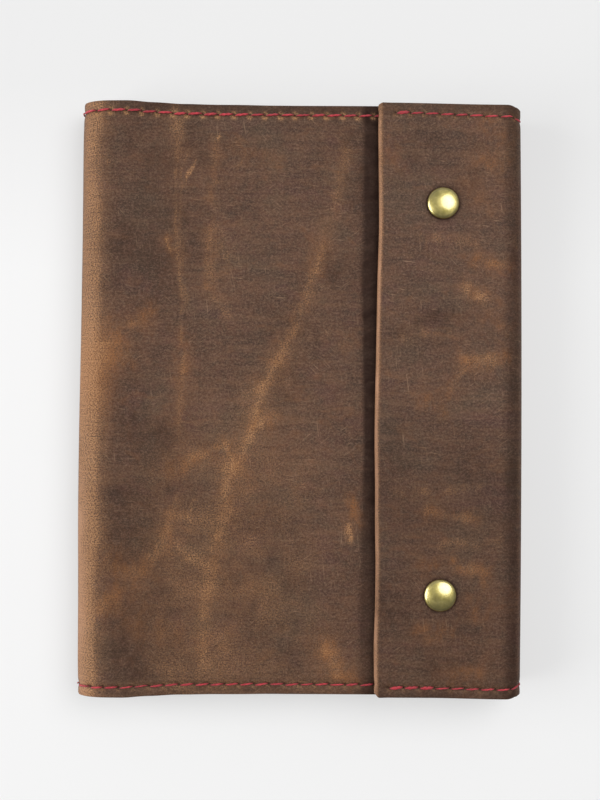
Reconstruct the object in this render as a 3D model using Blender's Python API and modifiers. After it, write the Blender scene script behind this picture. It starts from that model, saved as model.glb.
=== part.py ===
"""Snap-fastened leather cover for an A5 notebook, lying on its back cover.

One hide is wrapped round the notebook: front sleeve, front cover, spine, back
cover, fore-edge, flap, and then back inside as the lining of the flap and of the
fore-edge and as the back sleeve. Red seams run along the head and the tail, and
two snaps hold the flap to the front cover. The notebook's boards sit in the
sleeves and its pages lie on the back board.

Metres, +Z up. The spine is at -X, the fore-edge at +X, the head at +Y. The hide
lies on z = 0, under the middle of its box. The object folds along four lines
parallel to Y; every body hangs on an empty that stands on its fold line.
"""

import bpy
import bmesh
from math import cos, sin, radians, degrees
from mathutils import Matrix, Vector

MM = 0.001

# ---- driving dimensions (mm) -------------------------------------------------
WIDTH = 167.0            # spine to fore-edge, closed
HEIGHT = 222.0           # head to tail
HIDE = 1.6               # thickness of the hide
GAP = 0.3                # between neighbouring pieces
Z_FRONT = 20.0           # outer face of the front cover
Z_FLAP = 24.5            # outer face of the flap
R_SPINE = 7.0            # outer radius of the two spine folds
R_FORE = 5.5             # outer radius of the two fore-edge folds
BOARD = 1.8              # the notebook's boards
FRONT_EDGE = 78.9        # x of the front cover's free edge
FLAP_EDGE = 28.8         # x of the flap's free edge
SLEEVE_END = 17.5        # x where both sleeves end
PAGE_W, PAGE_H = 148.0, 210.0
BOARD_W, BOARD_H = 150.5, 213.0
SEAM_Y = 107.2           # seams at plus and minus this, 3.8 mm in from the edges
THREAD_R = 0.35
SNAPS = {"upper": (53.6, 73.0), "lower": (52.9, -73.0)}
FOLD_IN_SPINE = 1.7      # how far a spine fold's axis lies inside the sharp corner
FOLD_IN_FORE = 1.35

HALF_W, HALF_H = WIDTH / 2, HEIGHT / 2
SX = -HALF_W + R_SPINE               # centre of the spine arcs
FX = HALF_W - R_FORE                 # centre of the fore-edge arcs
SLEEVE_Z = Z_FRONT - 2 * HIDE - BOARD - 2 * GAP   # lower face of the front sleeve
R_NOSE = (Z_FRONT - SLEEVE_Z) / 2
BACK_SLEEVE_TOP = 2 * HIDE + BOARD + 2 * GAP      # upper face of the back sleeve
LINING_Z = Z_FLAP - 2 * HIDE - GAP                # lower face of the flap lining
R_FLAP_NOSE = (Z_FLAP - LINING_Z) / 2
R_LINING = R_FORE - 2 * HIDE - GAP                # inner face of the lining's arcs

# ---- fold lines ----------------------------------------------------------------
FOLDS = {
    "fold_spine": (-HALF_W + FOLD_IN_SPINE, FOLD_IN_SPINE),
    "fold_front": (-HALF_W + FOLD_IN_SPINE, Z_FRONT - FOLD_IN_SPINE),
    "fold_fore_edge": (HALF_W - FOLD_IN_FORE, FOLD_IN_FORE),
    "fold_flap": (HALF_W - FOLD_IN_FORE, Z_FLAP - FOLD_IN_FORE),
}


def half_gap(r):
    """Half of the gap between two pieces on an arc of radius r, in degrees."""
    return degrees(GAP / 2 / r)


# ---- routes: the hide's grain face in the x-z plane, grain side on the left -------
def arc(cx, cz, r, a0, a1, n):
    return ("arc", cx, cz, r, a0, a1, n)


def pt(x, z, nx, nz):
    return ("pt", x, z, nx, nz)


def route(spec, out=0.0):
    """The points of a route, moved by out to the grain side."""
    pts = []
    for s in spec:
        if s[0] == "pt":
            pts.append((s[1] + s[3] * out, s[2] + s[4] * out))
        else:
            _, cx, cz, r, a0, a1, n = s
            rr = r + out if a1 < a0 else r - out
            for i in range(n + 1):
                a = radians(a0 + (a1 - a0) * i / n)
                pts.append((cx + rr * cos(a), cz + rr * sin(a)))
    return pts


GS, GF, GL = half_gap(R_SPINE), half_gap(R_FORE), half_gap(R_LINING)
NOSE_X = FRONT_EDGE - R_NOSE
FLAP_NOSE_X = FLAP_EDGE + R_FLAP_NOSE
LOW_Z = BACK_SLEEVE_TOP + R_LINING   # centre of the lining's lower arc
TOP_S = Z_FRONT - R_SPINE
TOP_F = Z_FLAP - R_FORE

FRONT = [arc(SX, TOP_S, R_SPINE, 135 - GS, 90, 6), arc(NOSE_X, Z_FRONT - R_NOSE, R_NOSE, 90, -90, 12)]
FRONT_SLEEVE = [pt(NOSE_X - GAP, SLEEVE_Z, 0, -1), pt(SLEEVE_END, SLEEVE_Z, 0, -1)]
SPINE = [arc(SX, R_SPINE, R_SPINE, -135 - GS, -180, 6), arc(SX, TOP_S, R_SPINE, 180, 135 + GS, 6)]
BACK = [arc(FX, R_FORE, R_FORE, -45 - GF, -90, 6), arc(SX, R_SPINE, R_SPINE, -90, -135 + GS, 6)]
FORE = [arc(FX, TOP_F, R_FORE, 45 - GF, 0, 6), arc(FX, R_FORE, R_FORE, 0, -45 + GF, 6)]
FLAP = [arc(FLAP_NOSE_X, Z_FLAP - R_FLAP_NOSE, R_FLAP_NOSE, -90, -270, 12), arc(FX, TOP_F, R_FORE, 90, 45 + GF, 6)]
BACK_SLEEVE = [pt(SLEEVE_END, BACK_SLEEVE_TOP, 0, 1), arc(FX, LOW_Z, R_LINING, -90, -45 - GL, 4)]
FORE_LINING = [arc(FX, LOW_Z, R_LINING, -45 + GL, 0, 4), arc(FX, TOP_F, R_LINING, 0, 45 - GL, 4)]
FLAP_LINING = [arc(FX, TOP_F, R_LINING, 45 + GL, 90, 4), pt(FLAP_NOSE_X + GAP, LINING_Z, 0, -1)]


# ---- scene ----------------------------------------------------------------------
for old in list(bpy.data.objects):
    bpy.data.objects.remove(old, do_unlink=True)

parts = bpy.data.collections.new("leather_notebook_cover")
cutters = bpy.data.collections.new("cutters")
bpy.context.scene.collection.children.link(parts)
bpy.context.scene.collection.children.link(cutters)

MATERIALS = {
    "hide": ((0.060, 0.036, 0.026), 0.55, 0.0),
    "hide_inside": ((0.105, 0.062, 0.040), 0.75, 0.0),
    "brass": ((0.36, 0.30, 0.13), 0.34, 1.0),
    "thread": ((0.42, 0.035, 0.045), 0.6, 0.0),
    "board": ((0.035, 0.034, 0.033), 0.6, 0.0),
    "paper": ((0.80, 0.76, 0.66), 0.85, 0.0),
}


def material(name, kind):
    colour, rough, metal = MATERIALS[kind]
    m = bpy.data.materials.new(name + "_" + kind)
    m.use_nodes = True
    b = m.node_tree.nodes["Principled BSDF"]
    b.inputs["Base Color"].default_value = (*colour, 1)
    b.inputs["Roughness"].default_value = rough
    b.inputs["Metallic"].default_value = metal
    m.diffuse_color = (*colour, 1)
    return m


def put(bm, name, collection, kind=None, smooth=True):
    mesh = bpy.data.meshes.new(name)
    bm.to_mesh(mesh)
    bm.free()
    ob = bpy.data.objects.new(name, mesh)
    collection.objects.link(ob)
    if kind:
        mesh.materials.append(material(name, kind))
        if smooth:
            mesh.shade_smooth()
            mesh.set_sharp_from_angle(angle=radians(35))
    else:
        ob.hide_render = True
        ob.display_type = "WIRE"
    return ob


def strip(name, spec, thick, y0, y1, collection, kind=None, out=0.0):
    """A sheet that follows a route: the route drawn along Y, thickened away from its grain side."""
    bm = bmesh.new()
    pts = route(spec, out)
    vs = [bm.verts.new((x * MM, y0 * MM, z * MM)) for x, z in pts]
    es = [bm.edges.new(p) for p in zip(vs, vs[1:])]
    new = bmesh.ops.extrude_edge_only(bm, edges=es)["geom"]
    moved = [g for g in new if isinstance(g, bmesh.types.BMVert)]
    bmesh.ops.translate(bm, vec=(0, (y1 - y0) * MM, 0), verts=moved)
    bm.faces.ensure_lookup_table()
    bm.normal_update()
    (xa, za), (xb, zb) = pts[0], pts[1]
    left = Vector((-(zb - za), 0, xb - xa))
    first = min(bm.faces, key=lambda f: (f.calc_center_median() - Vector(((xa + xb) / 2 * MM, (y0 + y1) / 2 * MM, (za + zb) / 2 * MM))).length)
    if first.normal.dot(left) < 0:
        bmesh.ops.reverse_faces(bm, faces=bm.faces[:])
    ob = put(bm, name, collection, kind)
    s = ob.modifiers.new("thickness", "SOLIDIFY")
    s.thickness = thick * MM
    s.offset = -1
    s.use_even_offset = True
    return ob


def box(name, x0, x1, y0, y1, z0, z1, collection, kind=None):
    bm = bmesh.new()
    bmesh.ops.create_cube(bm, size=1)
    bmesh.ops.transform(bm, verts=bm.verts, matrix=Matrix.Diagonal(((x1 - x0) * MM, (y1 - y0) * MM, (z1 - z0) * MM, 1)))
    bmesh.ops.translate(bm, verts=bm.verts, vec=((x0 + x1) / 2 * MM, (y0 + y1) / 2 * MM, (z0 + z1) / 2 * MM))
    return put(bm, name, collection, kind, smooth=False)


def cylinder(name, x, y, r, z0, z1):
    bm = bmesh.new()
    bmesh.ops.create_cone(bm, cap_ends=True, segments=32, radius1=r * MM, radius2=r * MM, depth=(z1 - z0) * MM)
    bmesh.ops.translate(bm, verts=bm.verts, vec=(x * MM, y * MM, (z0 + z1) / 2 * MM))
    return put(bm, name, cutters)


def turned(name, x, y, profile, kind, closed=False, steps=28):
    """A turned piece: a profile of (radius, z), top to bottom on its outer side, swept round Z."""
    bm = bmesh.new()
    vs = [bm.verts.new((r * MM, 0, z * MM)) for r, z in profile]
    for p in zip(vs, vs[1:]):
        bm.edges.new(p)
    if closed:
        bm.edges.new((vs[-1], vs[0]))
    ob = put(bm, name, parts, kind)
    ob.location = (x * MM, y * MM, 0)
    s = ob.modifiers.new("turn", "SCREW")
    s.axis = "Z"
    s.steps = steps
    s.render_steps = steps
    s.use_merge_vertices = True
    s.merge_threshold = 0.00001
    s.use_smooth_shade = True
    return ob


def thread(name, spec, y, sink):
    """A seam's thread, laid in its groove, sink below the grain face."""
    pts = route(spec, -sink)
    curve = bpy.data.curves.new(name, "CURVE")
    curve.dimensions = "3D"
    sp = curve.splines.new("POLY")
    sp.points.add(len(pts) - 1)
    for p, (x, z) in zip(sp.points, pts):
        p.co = (x * MM, y * MM, z * MM, 1)
    curve.bevel_depth = THREAD_R * MM
    curve.bevel_resolution = 2
    curve.use_fill_caps = True
    ob = bpy.data.objects.new(name, curve)
    parts.objects.link(ob)
    curve.materials.append(material(name, "thread"))
    return ob


def cut(ob, *tools):
    for n, tool in enumerate(tools):
        m = ob.modifiers.new("cut_%d" % n, "BOOLEAN")
        m.operation = "DIFFERENCE"
        m.solver = "EXACT"
        m.object = tool


def grooves(ob, spec, depth):
    """A groove along the head seam and one along the tail seam."""
    w = THREAD_R + GAP
    for side in (1, -1):
        tool = strip("groove_%s_%s" % (ob.name, "head" if side > 0 else "tail"), spec, depth + 0.5,
                     side * SEAM_Y - w, side * SEAM_Y + w, cutters, out=0.5)
        cut(ob, tool)


body = {"back": [], "spine": [], "front": [], "fore_edge": [], "flap": []}

# ---- the hide ---------------------------------------------------------------------
sheets = [
    ("back_cover_leather", BACK, "hide", "back"),
    ("back_sleeve_leather", BACK_SLEEVE, "hide_inside", "back"),
    ("spine_leather", SPINE, "hide", "spine"),
    ("front_cover_leather", FRONT, "hide", "front"),
    ("front_sleeve_leather", FRONT_SLEEVE, "hide_inside", "front"),
    ("fore_edge_leather", FORE, "hide", "fore_edge"),
    ("fore_edge_lining", FORE_LINING, "hide_inside", "fore_edge"),
    ("flap_leather", FLAP, "hide", "flap"),
    ("flap_lining", FLAP_LINING, "hide_inside", "flap"),
]
made = {}
for name, spec, kind, where in sheets:
    made[name] = strip(name, spec, HIDE, -HALF_H, HALF_H, parts, kind)
    body[where].append(made[name])

# ---- seams: grooves and threads ------------------------------------------------------
DEPTH, SINK = 0.8, 0.15            # outer faces: the thread stands 0.2 mm proud
DEPTH_BACK, SINK_BACK = 1.05, 0.40  # the underside: the thread lies just inside the face
e_s, e_f = degrees(0.5 / R_SPINE), degrees(0.5 / R_FORE)
seams = {
    "front": ([arc(SX, TOP_S, R_SPINE, 150, 90, 8), pt(NOSE_X - 0.4, Z_FRONT, 0, 1)],
              [arc(SX, TOP_S, R_SPINE, 135 - GS - e_s, 90, 6), pt(NOSE_X - 1.2, Z_FRONT, 0, 1)], "front_cover_leather"),
    "spine": ([arc(SX, R_SPINE, R_SPINE, -120, -180, 8), arc(SX, TOP_S, R_SPINE, 180, 120, 8)],
              [arc(SX, R_SPINE, R_SPINE, -135 - GS - e_s, -180, 6), arc(SX, TOP_S, R_SPINE, 180, 135 + GS + e_s, 6)], "spine_leather"),
    "back": ([arc(FX, R_FORE, R_FORE, -30, -90, 8), arc(SX, R_SPINE, R_SPINE, -90, -150, 8)],
             [arc(FX, R_FORE, R_FORE, -45 - GF - e_f, -90, 6), arc(SX, R_SPINE, R_SPINE, -90, -135 + GS + e_s, 6)], "back_cover_leather"),
    "fore_edge": ([arc(FX, TOP_F, R_FORE, 60, 0, 8), arc(FX, R_FORE, R_FORE, 0, -60, 8)],
                  [arc(FX, TOP_F, R_FORE, 45 - GF - e_f, 0, 6), arc(FX, R_FORE, R_FORE, 0, -45 + GF + e_f, 6)], "fore_edge_leather"),
    "flap": ([pt(FLAP_NOSE_X + 2.6, Z_FLAP, 0, 1), arc(FX, TOP_F, R_FORE, 90, 30, 8)],
             [pt(FLAP_NOSE_X + 3.4, Z_FLAP, 0, 1), arc(FX, TOP_F, R_FORE, 90, 45 + GF + e_f, 6)], "flap_leather"),
}
for where, (groove, line, sheet) in seams.items():
    under = where == "back"
    grooves(made[sheet], groove, DEPTH_BACK if under else DEPTH)
    for side, end in ((1, "head"), (-1, "tail")):
        body[where].append(thread("stitching_%s_%s" % (where, end), line, side * SEAM_Y, SINK_BACK if under else SINK))

# ---- snaps --------------------------------------------------------------------------
F = Z_FLAP
CAP = [(0, F + 2.10), (1.5, F + 2.05), (3.0, F + 1.86), (4.3, F + 1.52), (5.2, F + 1.16), (5.6, F + 1.05),
       (5.92, F + 0.90), (6.0, F + 0.68), (5.9, F + 0.46), (5.6, F + 0.34), (5.1, F + 0.42), (1.9, F + 0.5),
       (1.7, F + 0.3), (1.7, F - 1.8), (0, F - 1.8)]
SOCKET = [(2.6, 22.5), (4.0, 22.5), (4.3, 22.2), (4.3, 21.7), (5.0, 21.6), (5.2, 21.4), (5.2, 21.0), (5.0, 20.8), (2.8, 20.8), (2.6, 21.0)]
STUD = [(0, 22.2), (1.2, 22.14), (1.85, 21.85), (2.1, 21.35), (1.8, 20.85), (1.75, 20.45), (4.3, 20.38), (4.6, 20.2), (4.6, 19.95), (0, 19.95)]
POST = [(0, 19.6), (1.4, 19.6), (1.4, 18.85), (3.8, 18.8), (4.0, 18.6), (4.0, 18.42), (0, 18.42)]
for where, (x, y) in SNAPS.items():
    body["flap"].append(turned(where + "_snap_cap", x, y, CAP, "brass"))
    body["flap"].append(turned(where + "_snap_socket", x, y, SOCKET, "brass", closed=True))
    body["front"].append(turned(where + "_snap_stud", x, y, STUD, "brass"))
    body["front"].append(turned(where + "_snap_post", x, y, POST, "brass"))
    cut(made["flap_leather"], cylinder("hole_%s_cap" % where, x, y, 2.1, 22.0, 25.5))
    cut(made["flap_lining"], cylinder("hole_%s_socket" % where, x, y, 5.6, 20.0, 23.5))
    cut(made["front_cover_leather"],
        cylinder("hole_%s_shank" % where, x, y, 1.8, 18.0, 20.5),
        cylinder("seat_%s_stud" % where, x, y, 5.0, 19.6, 21.0),
        cylinder("seat_%s_post" % where, x, y, 4.4, 17.5, 19.1))

# ---- the notebook in the sleeves --------------------------------------------------------
BX0 = SX + 1.0
front_board = box("notebook_front_board", BX0, BX0 + BOARD_W, -BOARD_H / 2, BOARD_H / 2,
                  Z_FRONT - HIDE - GAP - BOARD, Z_FRONT - HIDE - GAP, parts, "board")
back_board = box("notebook_back_board", BX0, BX0 + BOARD_W, -BOARD_H / 2, BOARD_H / 2,
                 HIDE + GAP, HIDE + GAP + BOARD, parts, "board")
spine_board = box("notebook_spine_board", -80.6, -79.2, -BOARD_H / 2, BOARD_H / 2, 4.2, 15.8, parts, "board")
LOW = HIDE + 2 * GAP + BOARD
pages = box("notebook_pages", SX + 0.5, SX + 0.5 + PAGE_W, -PAGE_H / 2, PAGE_H / 2, LOW, SLEEVE_Z - GAP, parts, "paper")
cut(pages, box("seat_back_sleeve", SLEEVE_END - 0.5, 90, -HALF_H, HALF_H, 0, BACK_SLEEVE_TOP + GAP, cutters))
body["front"].append(front_board)
body["spine"].append(spine_board)
body["back"] += [back_board, pages]

# ---- the four folds ------------------------------------------------------------------------
PARENT = {"spine": ("fold_spine", None), "front": ("fold_front", "fold_spine"),
          "fore_edge": ("fold_fore_edge", None), "flap": ("fold_flap", "fold_fore_edge")}
empties = {}
for where, (fold, above) in PARENT.items():
    e = bpy.data.objects.new(fold, None)
    e.empty_display_type = "SINGLE_ARROW"
    e.empty_display_size = 0.02
    parts.objects.link(e)
    x, z = FOLDS[fold]
    px, pz = FOLDS[above] if above else (0.0, 0.0)
    e.location = ((x - px) * MM, 0, (z - pz) * MM)
    if above:
        e.parent = empties[above]
    empties[fold] = e
    for ob in body[where]:
        ob.parent = e
        ob.matrix_parent_inverse = Matrix.Translation((-x * MM, 0, -z * MM))

bpy.context.view_layer.update()
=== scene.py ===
"""Snap-fastened leather notebook cover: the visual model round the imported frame."""
import math
import bpy
import numpy as np
from mathutils import Matrix, Quaternion, Vector


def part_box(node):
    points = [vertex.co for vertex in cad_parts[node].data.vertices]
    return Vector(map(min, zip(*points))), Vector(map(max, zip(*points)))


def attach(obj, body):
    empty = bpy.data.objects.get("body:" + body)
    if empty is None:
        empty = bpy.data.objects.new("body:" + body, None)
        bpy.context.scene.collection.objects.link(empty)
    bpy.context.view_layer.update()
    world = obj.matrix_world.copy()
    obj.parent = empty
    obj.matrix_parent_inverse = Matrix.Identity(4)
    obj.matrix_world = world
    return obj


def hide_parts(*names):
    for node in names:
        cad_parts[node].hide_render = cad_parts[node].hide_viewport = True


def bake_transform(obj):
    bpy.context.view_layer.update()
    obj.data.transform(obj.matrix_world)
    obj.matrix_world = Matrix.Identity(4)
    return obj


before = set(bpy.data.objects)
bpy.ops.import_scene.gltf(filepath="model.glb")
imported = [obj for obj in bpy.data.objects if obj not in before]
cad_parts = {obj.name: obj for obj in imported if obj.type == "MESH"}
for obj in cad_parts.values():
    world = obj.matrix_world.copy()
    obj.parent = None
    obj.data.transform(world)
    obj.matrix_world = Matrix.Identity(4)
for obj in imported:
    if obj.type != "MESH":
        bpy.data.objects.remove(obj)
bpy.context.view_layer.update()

MM = 0.001

# ------------------------------------------------------------------ numbers, in mm
lo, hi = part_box("front_cover_leather")
Z_FRONT = round(hi.z / MM, 3)
HALF_H = round(hi.y / MM, 3)
Z_FLAP = round(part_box("flap_leather")[1].z / MM, 3)
HALF_W = round(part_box("fore_edge_leather")[1].x / MM, 3)
FRONT_EDGE = round(hi.x / MM, 3)
FLAP_EDGE = round(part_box("flap_leather")[0].x / MM, 3)
SLEEVE_END = round(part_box("back_sleeve_leather")[0].x / MM, 3)
HIDE = 1.6
R_SPINE, R_FORE = 7.0, 5.5
BACK_SLEEVE_TOP, SLEEVE_Z, LINING_Z = 5.6, 14.4, 21.0
SNAPS = []
for where in ("upper", "lower"):
    a_, b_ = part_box(where + "_snap_cap")
    SNAPS.append((where, (a_.x + b_.x) / 2 / MM, (a_.y + b_.y) / 2 / MM))
SEAM = 107.2
FX = HALF_W - R_FORE
SX = -HALF_W + R_SPINE


# ------------------------------------------------------------------ small numpy tools
def smooth(a, b, x):
    t = np.clip((np.asarray(x, float) - a) / (b - a), 0, 1)
    return t * t * (3 - 2 * t)


def hashed(i, j, seed):
    h = (i.astype(np.int64) * 374761393 + j.astype(np.int64) * 668265263 + seed * 1442695041) & 0xFFFFFFFF
    h = ((h ^ (h >> 13)) * 1274126177) & 0xFFFFFFFF
    h = (h ^ (h >> 16)) & 0xFFFFFFFF
    return h / 4294967295.0


def value_noise(x, y, seed=0):
    xi, yi = np.floor(x), np.floor(y)
    fx, fy = x - xi, y - yi
    fx, fy = fx * fx * (3 - 2 * fx), fy * fy * (3 - 2 * fy)
    a, b = hashed(xi, yi, seed), hashed(xi + 1, yi, seed)
    c, d = hashed(xi, yi + 1, seed), hashed(xi + 1, yi + 1, seed)
    return (a + (b - a) * fx) * (1 - fy) + (c + (d - c) * fx) * fy


def fbm(x, y, seed=0, octaves=3):
    total, amp, norm = 0.0, 1.0, 0.0
    for o in range(octaves):
        total = total + amp * value_noise(x * 2 ** o, y * 2 ** o, seed + 17 * o)
        norm += amp
        amp *= 0.5
    return total / norm * 2 - 1


# ------------------------------------------------------------------ routes in the x-z plane
def seg(x0, z0, x1, z1):
    n = max(2, int(math.hypot(x1 - x0, z1 - z0) / 0.1))
    t = np.linspace(0, 1, n)
    return np.stack([x0 + (x1 - x0) * t, z0 + (z1 - z0) * t], 1)


def bow(cx, cz, a, b, t0, t1):
    """An elliptical arc, with half axes a and b."""
    n = max(4, int(math.radians(abs(t1 - t0)) * max(a, b) / 0.1))
    t = np.radians(np.linspace(t0, t1, n))
    return np.stack([cx + a * np.cos(t), cz + b * np.sin(t)], 1)


def resample(p, step):
    d = np.r_[0, np.cumsum(np.hypot(*np.diff(p, axis=0).T))]
    s = np.linspace(0, d[-1], max(2, int(round(d[-1] / step)) + 1))
    return np.stack([np.interp(s, d, p[:, 0]), np.interp(s, d, p[:, 1])], 1)


def dense_route(*parts, sigma=0.6):
    p = np.concatenate(parts)
    keep = np.r_[True, np.hypot(*np.diff(p, axis=0).T) > 1e-6]
    p = resample(p[keep], 0.08)
    k = int(4 * sigma / 0.08)
    w = np.exp(-0.5 * (np.arange(-k, k + 1) * 0.08 / sigma) ** 2)
    w /= w.sum()
    out = []
    for c in (0, 1):
        q = p[:, c]
        head = 2 * q[0] - q[k:0:-1]
        tail = 2 * q[-1] - q[-2:-k - 2:-1]
        out.append(np.convolve(np.r_[head, q, tail], w, "valid"))
    return np.stack(out, 1)


class Route:
    """A smooth line with the grain side on its left; s is the length along it."""

    def __init__(self, *parts, sigma=0.6):
        self.p = dense_route(*parts, sigma=sigma)
        self.s = np.r_[0, np.cumsum(np.hypot(*np.diff(self.p, axis=0).T))]
        t = np.gradient(self.p, self.s, axis=0)
        t /= np.linalg.norm(t, axis=1)[:, None]
        self.n = np.stack([-t[:, 1], t[:, 0]], 1)
        self.t = t
        self.length = float(self.s[-1])

    def at(self, s, what="p"):
        a = getattr(self, what)
        return np.stack([np.interp(s, self.s, a[:, 0]), np.interp(s, self.s, a[:, 1])], -1)

    def s_of(self, x, z):
        return float(self.s[np.argmin((self.p[:, 0] - x) ** 2 + (self.p[:, 1] - z) ** 2)])

    def stations(self, spacing):
        gap = spacing(self.p[:, 0], self.p[:, 1])
        c = np.r_[0, np.cumsum(np.diff(self.s) / ((gap[1:] + gap[:-1]) / 2))]
        n = int(math.ceil(c[-1]))
        return np.interp(np.linspace(0, c[-1], n + 1), c, self.s)


A = Route(seg(-HALF_W, 10, -HALF_W, 12.2), bow(-HALF_W + 11.5, 12.2, 11.5, Z_FRONT - 12.2, 180, 90),
          seg(-HALF_W + 11.5, Z_FRONT, FRONT_EDGE - 2.8, Z_FRONT), bow(FRONT_EDGE - 2.8, Z_FRONT - 2.8, 2.8, 2.8, 90, -90),
          seg(FRONT_EDGE - 2.8, SLEEVE_Z, SLEEVE_END, SLEEVE_Z), sigma=0.5)
B = Route(seg(0, 0, SX, 0), bow(SX, R_SPINE, R_SPINE, R_SPINE, -90, -180), seg(-HALF_W, R_SPINE, -HALF_W, 10))
C = Route(seg(HALF_W, 12.25, HALF_W, R_FORE), bow(FX, R_FORE, R_FORE, R_FORE, 0, -90), seg(FX, 0, 0, 0))
D = Route(seg(80, 12.25, 80, 19), bow(78, 19, 2, 2, 0, 90), seg(78, LINING_Z, FLAP_EDGE + 1.75, LINING_Z),
          bow(FLAP_EDGE + 1.75, (LINING_Z + Z_FLAP) / 2, 1.75, 1.75, 270, 90), seg(FLAP_EDGE + 1.75, Z_FLAP, FX, Z_FLAP),
          bow(FX, Z_FLAP - R_FORE, R_FORE, R_FORE, 90, 0), seg(HALF_W, Z_FLAP - R_FORE, HALF_W, 12.25), sigma=0.4)
E = Route(seg(SLEEVE_END, BACK_SLEEVE_TOP, 78, BACK_SLEEVE_TOP), bow(78, 7.6, 2, 2, -90, 0), seg(80, 7.6, 80, 12.25), sigma=0.4)
U0 = {"A": 0.0, "B": -B.length, "C": -B.length - C.length, "D": -B.length - C.length - D.length,
      "E": -B.length - C.length - D.length - E.length}


# ------------------------------------------------------------------ how the hide departs from a plain wrap
def half_height(x, z, v=0.0):
    """Half the hide's height: taller towards the spine, where it was cut full; the flap's corners are worn round."""
    x, z = np.asarray(x, float), np.asarray(z, float)
    h = 110.9 + 0.2 * smooth(-10, -26, x) + 0.25 * smooth(-30, -44, x) + 0.6 * smooth(-44, -56, x) + 0.7 * smooth(-55, -66, x)
    h = np.where(z > 13.0, h, 110.9 + 1.75 * smooth(-50, -70, x))
    lid = np.where((z > 20.4) | (x > 79.2), smooth(12.25, 19.5, z), 0.0)
    turn = 1.25 * smooth(77.0, 83.7, x) ** 1.5
    ear = smooth(30.8, 28.8, x) ** 1.6
    head = h - lid * (0.55 * smooth(30, 78, x) + turn + 0.5 * ear)
    tail = h + lid * (0.40 * smooth(50, 76, x) - turn - 1.2 * ear)
    t = np.clip(np.asarray(v) / 111.0, -1, 1) * 0.5 + 0.5
    return head * t + tail * (1 - t)


def seam_at(x, z, side):
    """Height of the seam line: on the flap's head it runs down towards the fore edge."""
    low = smooth(36, 80, x) * np.where((np.asarray(z) > 20.4) | (np.asarray(x) > 79.2), smooth(13, 20, z), 0.0)
    return side * (SEAM - (0.75 if side > 0 else -0.1) * low)


LEAN_Y = (-111, -104, -92, -77, -62, -47, -32, -17, -2, 13, 28, 43, 65, 80, 102, 111)
LEAN_X = (-.1, -.2, -.4, .1, .2, -.1, -.1, -.4, -.3, 0, .2, .4, 1.0, .8, .5, .5)
lean_at = np.linspace(-125, 125, 1001)
lean_by = np.convolve(np.pad(np.interp(lean_at, LEAN_Y, LEAN_X), 30, "edge"), np.hanning(63)[1:-1] / np.hanning(63).sum(), "valid")


def shift(x, z, y):
    """Sideways movement of the hide where its edges aren't straight."""
    v = np.clip(y / 111.0, -1, 1)
    out = smooth(60, 80, x) * (0.6 * (1 - v ** 2) - 0.1)
    out = out - smooth(-66, -80, x) * 0.6 * np.exp(-((y + 28) / 50) ** 2)
    flap = smooth(50, 30, x) * (z > 20.4) * smooth(24, 26, x)
    return out + flap * np.interp(y, lean_at, lean_by)


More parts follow.
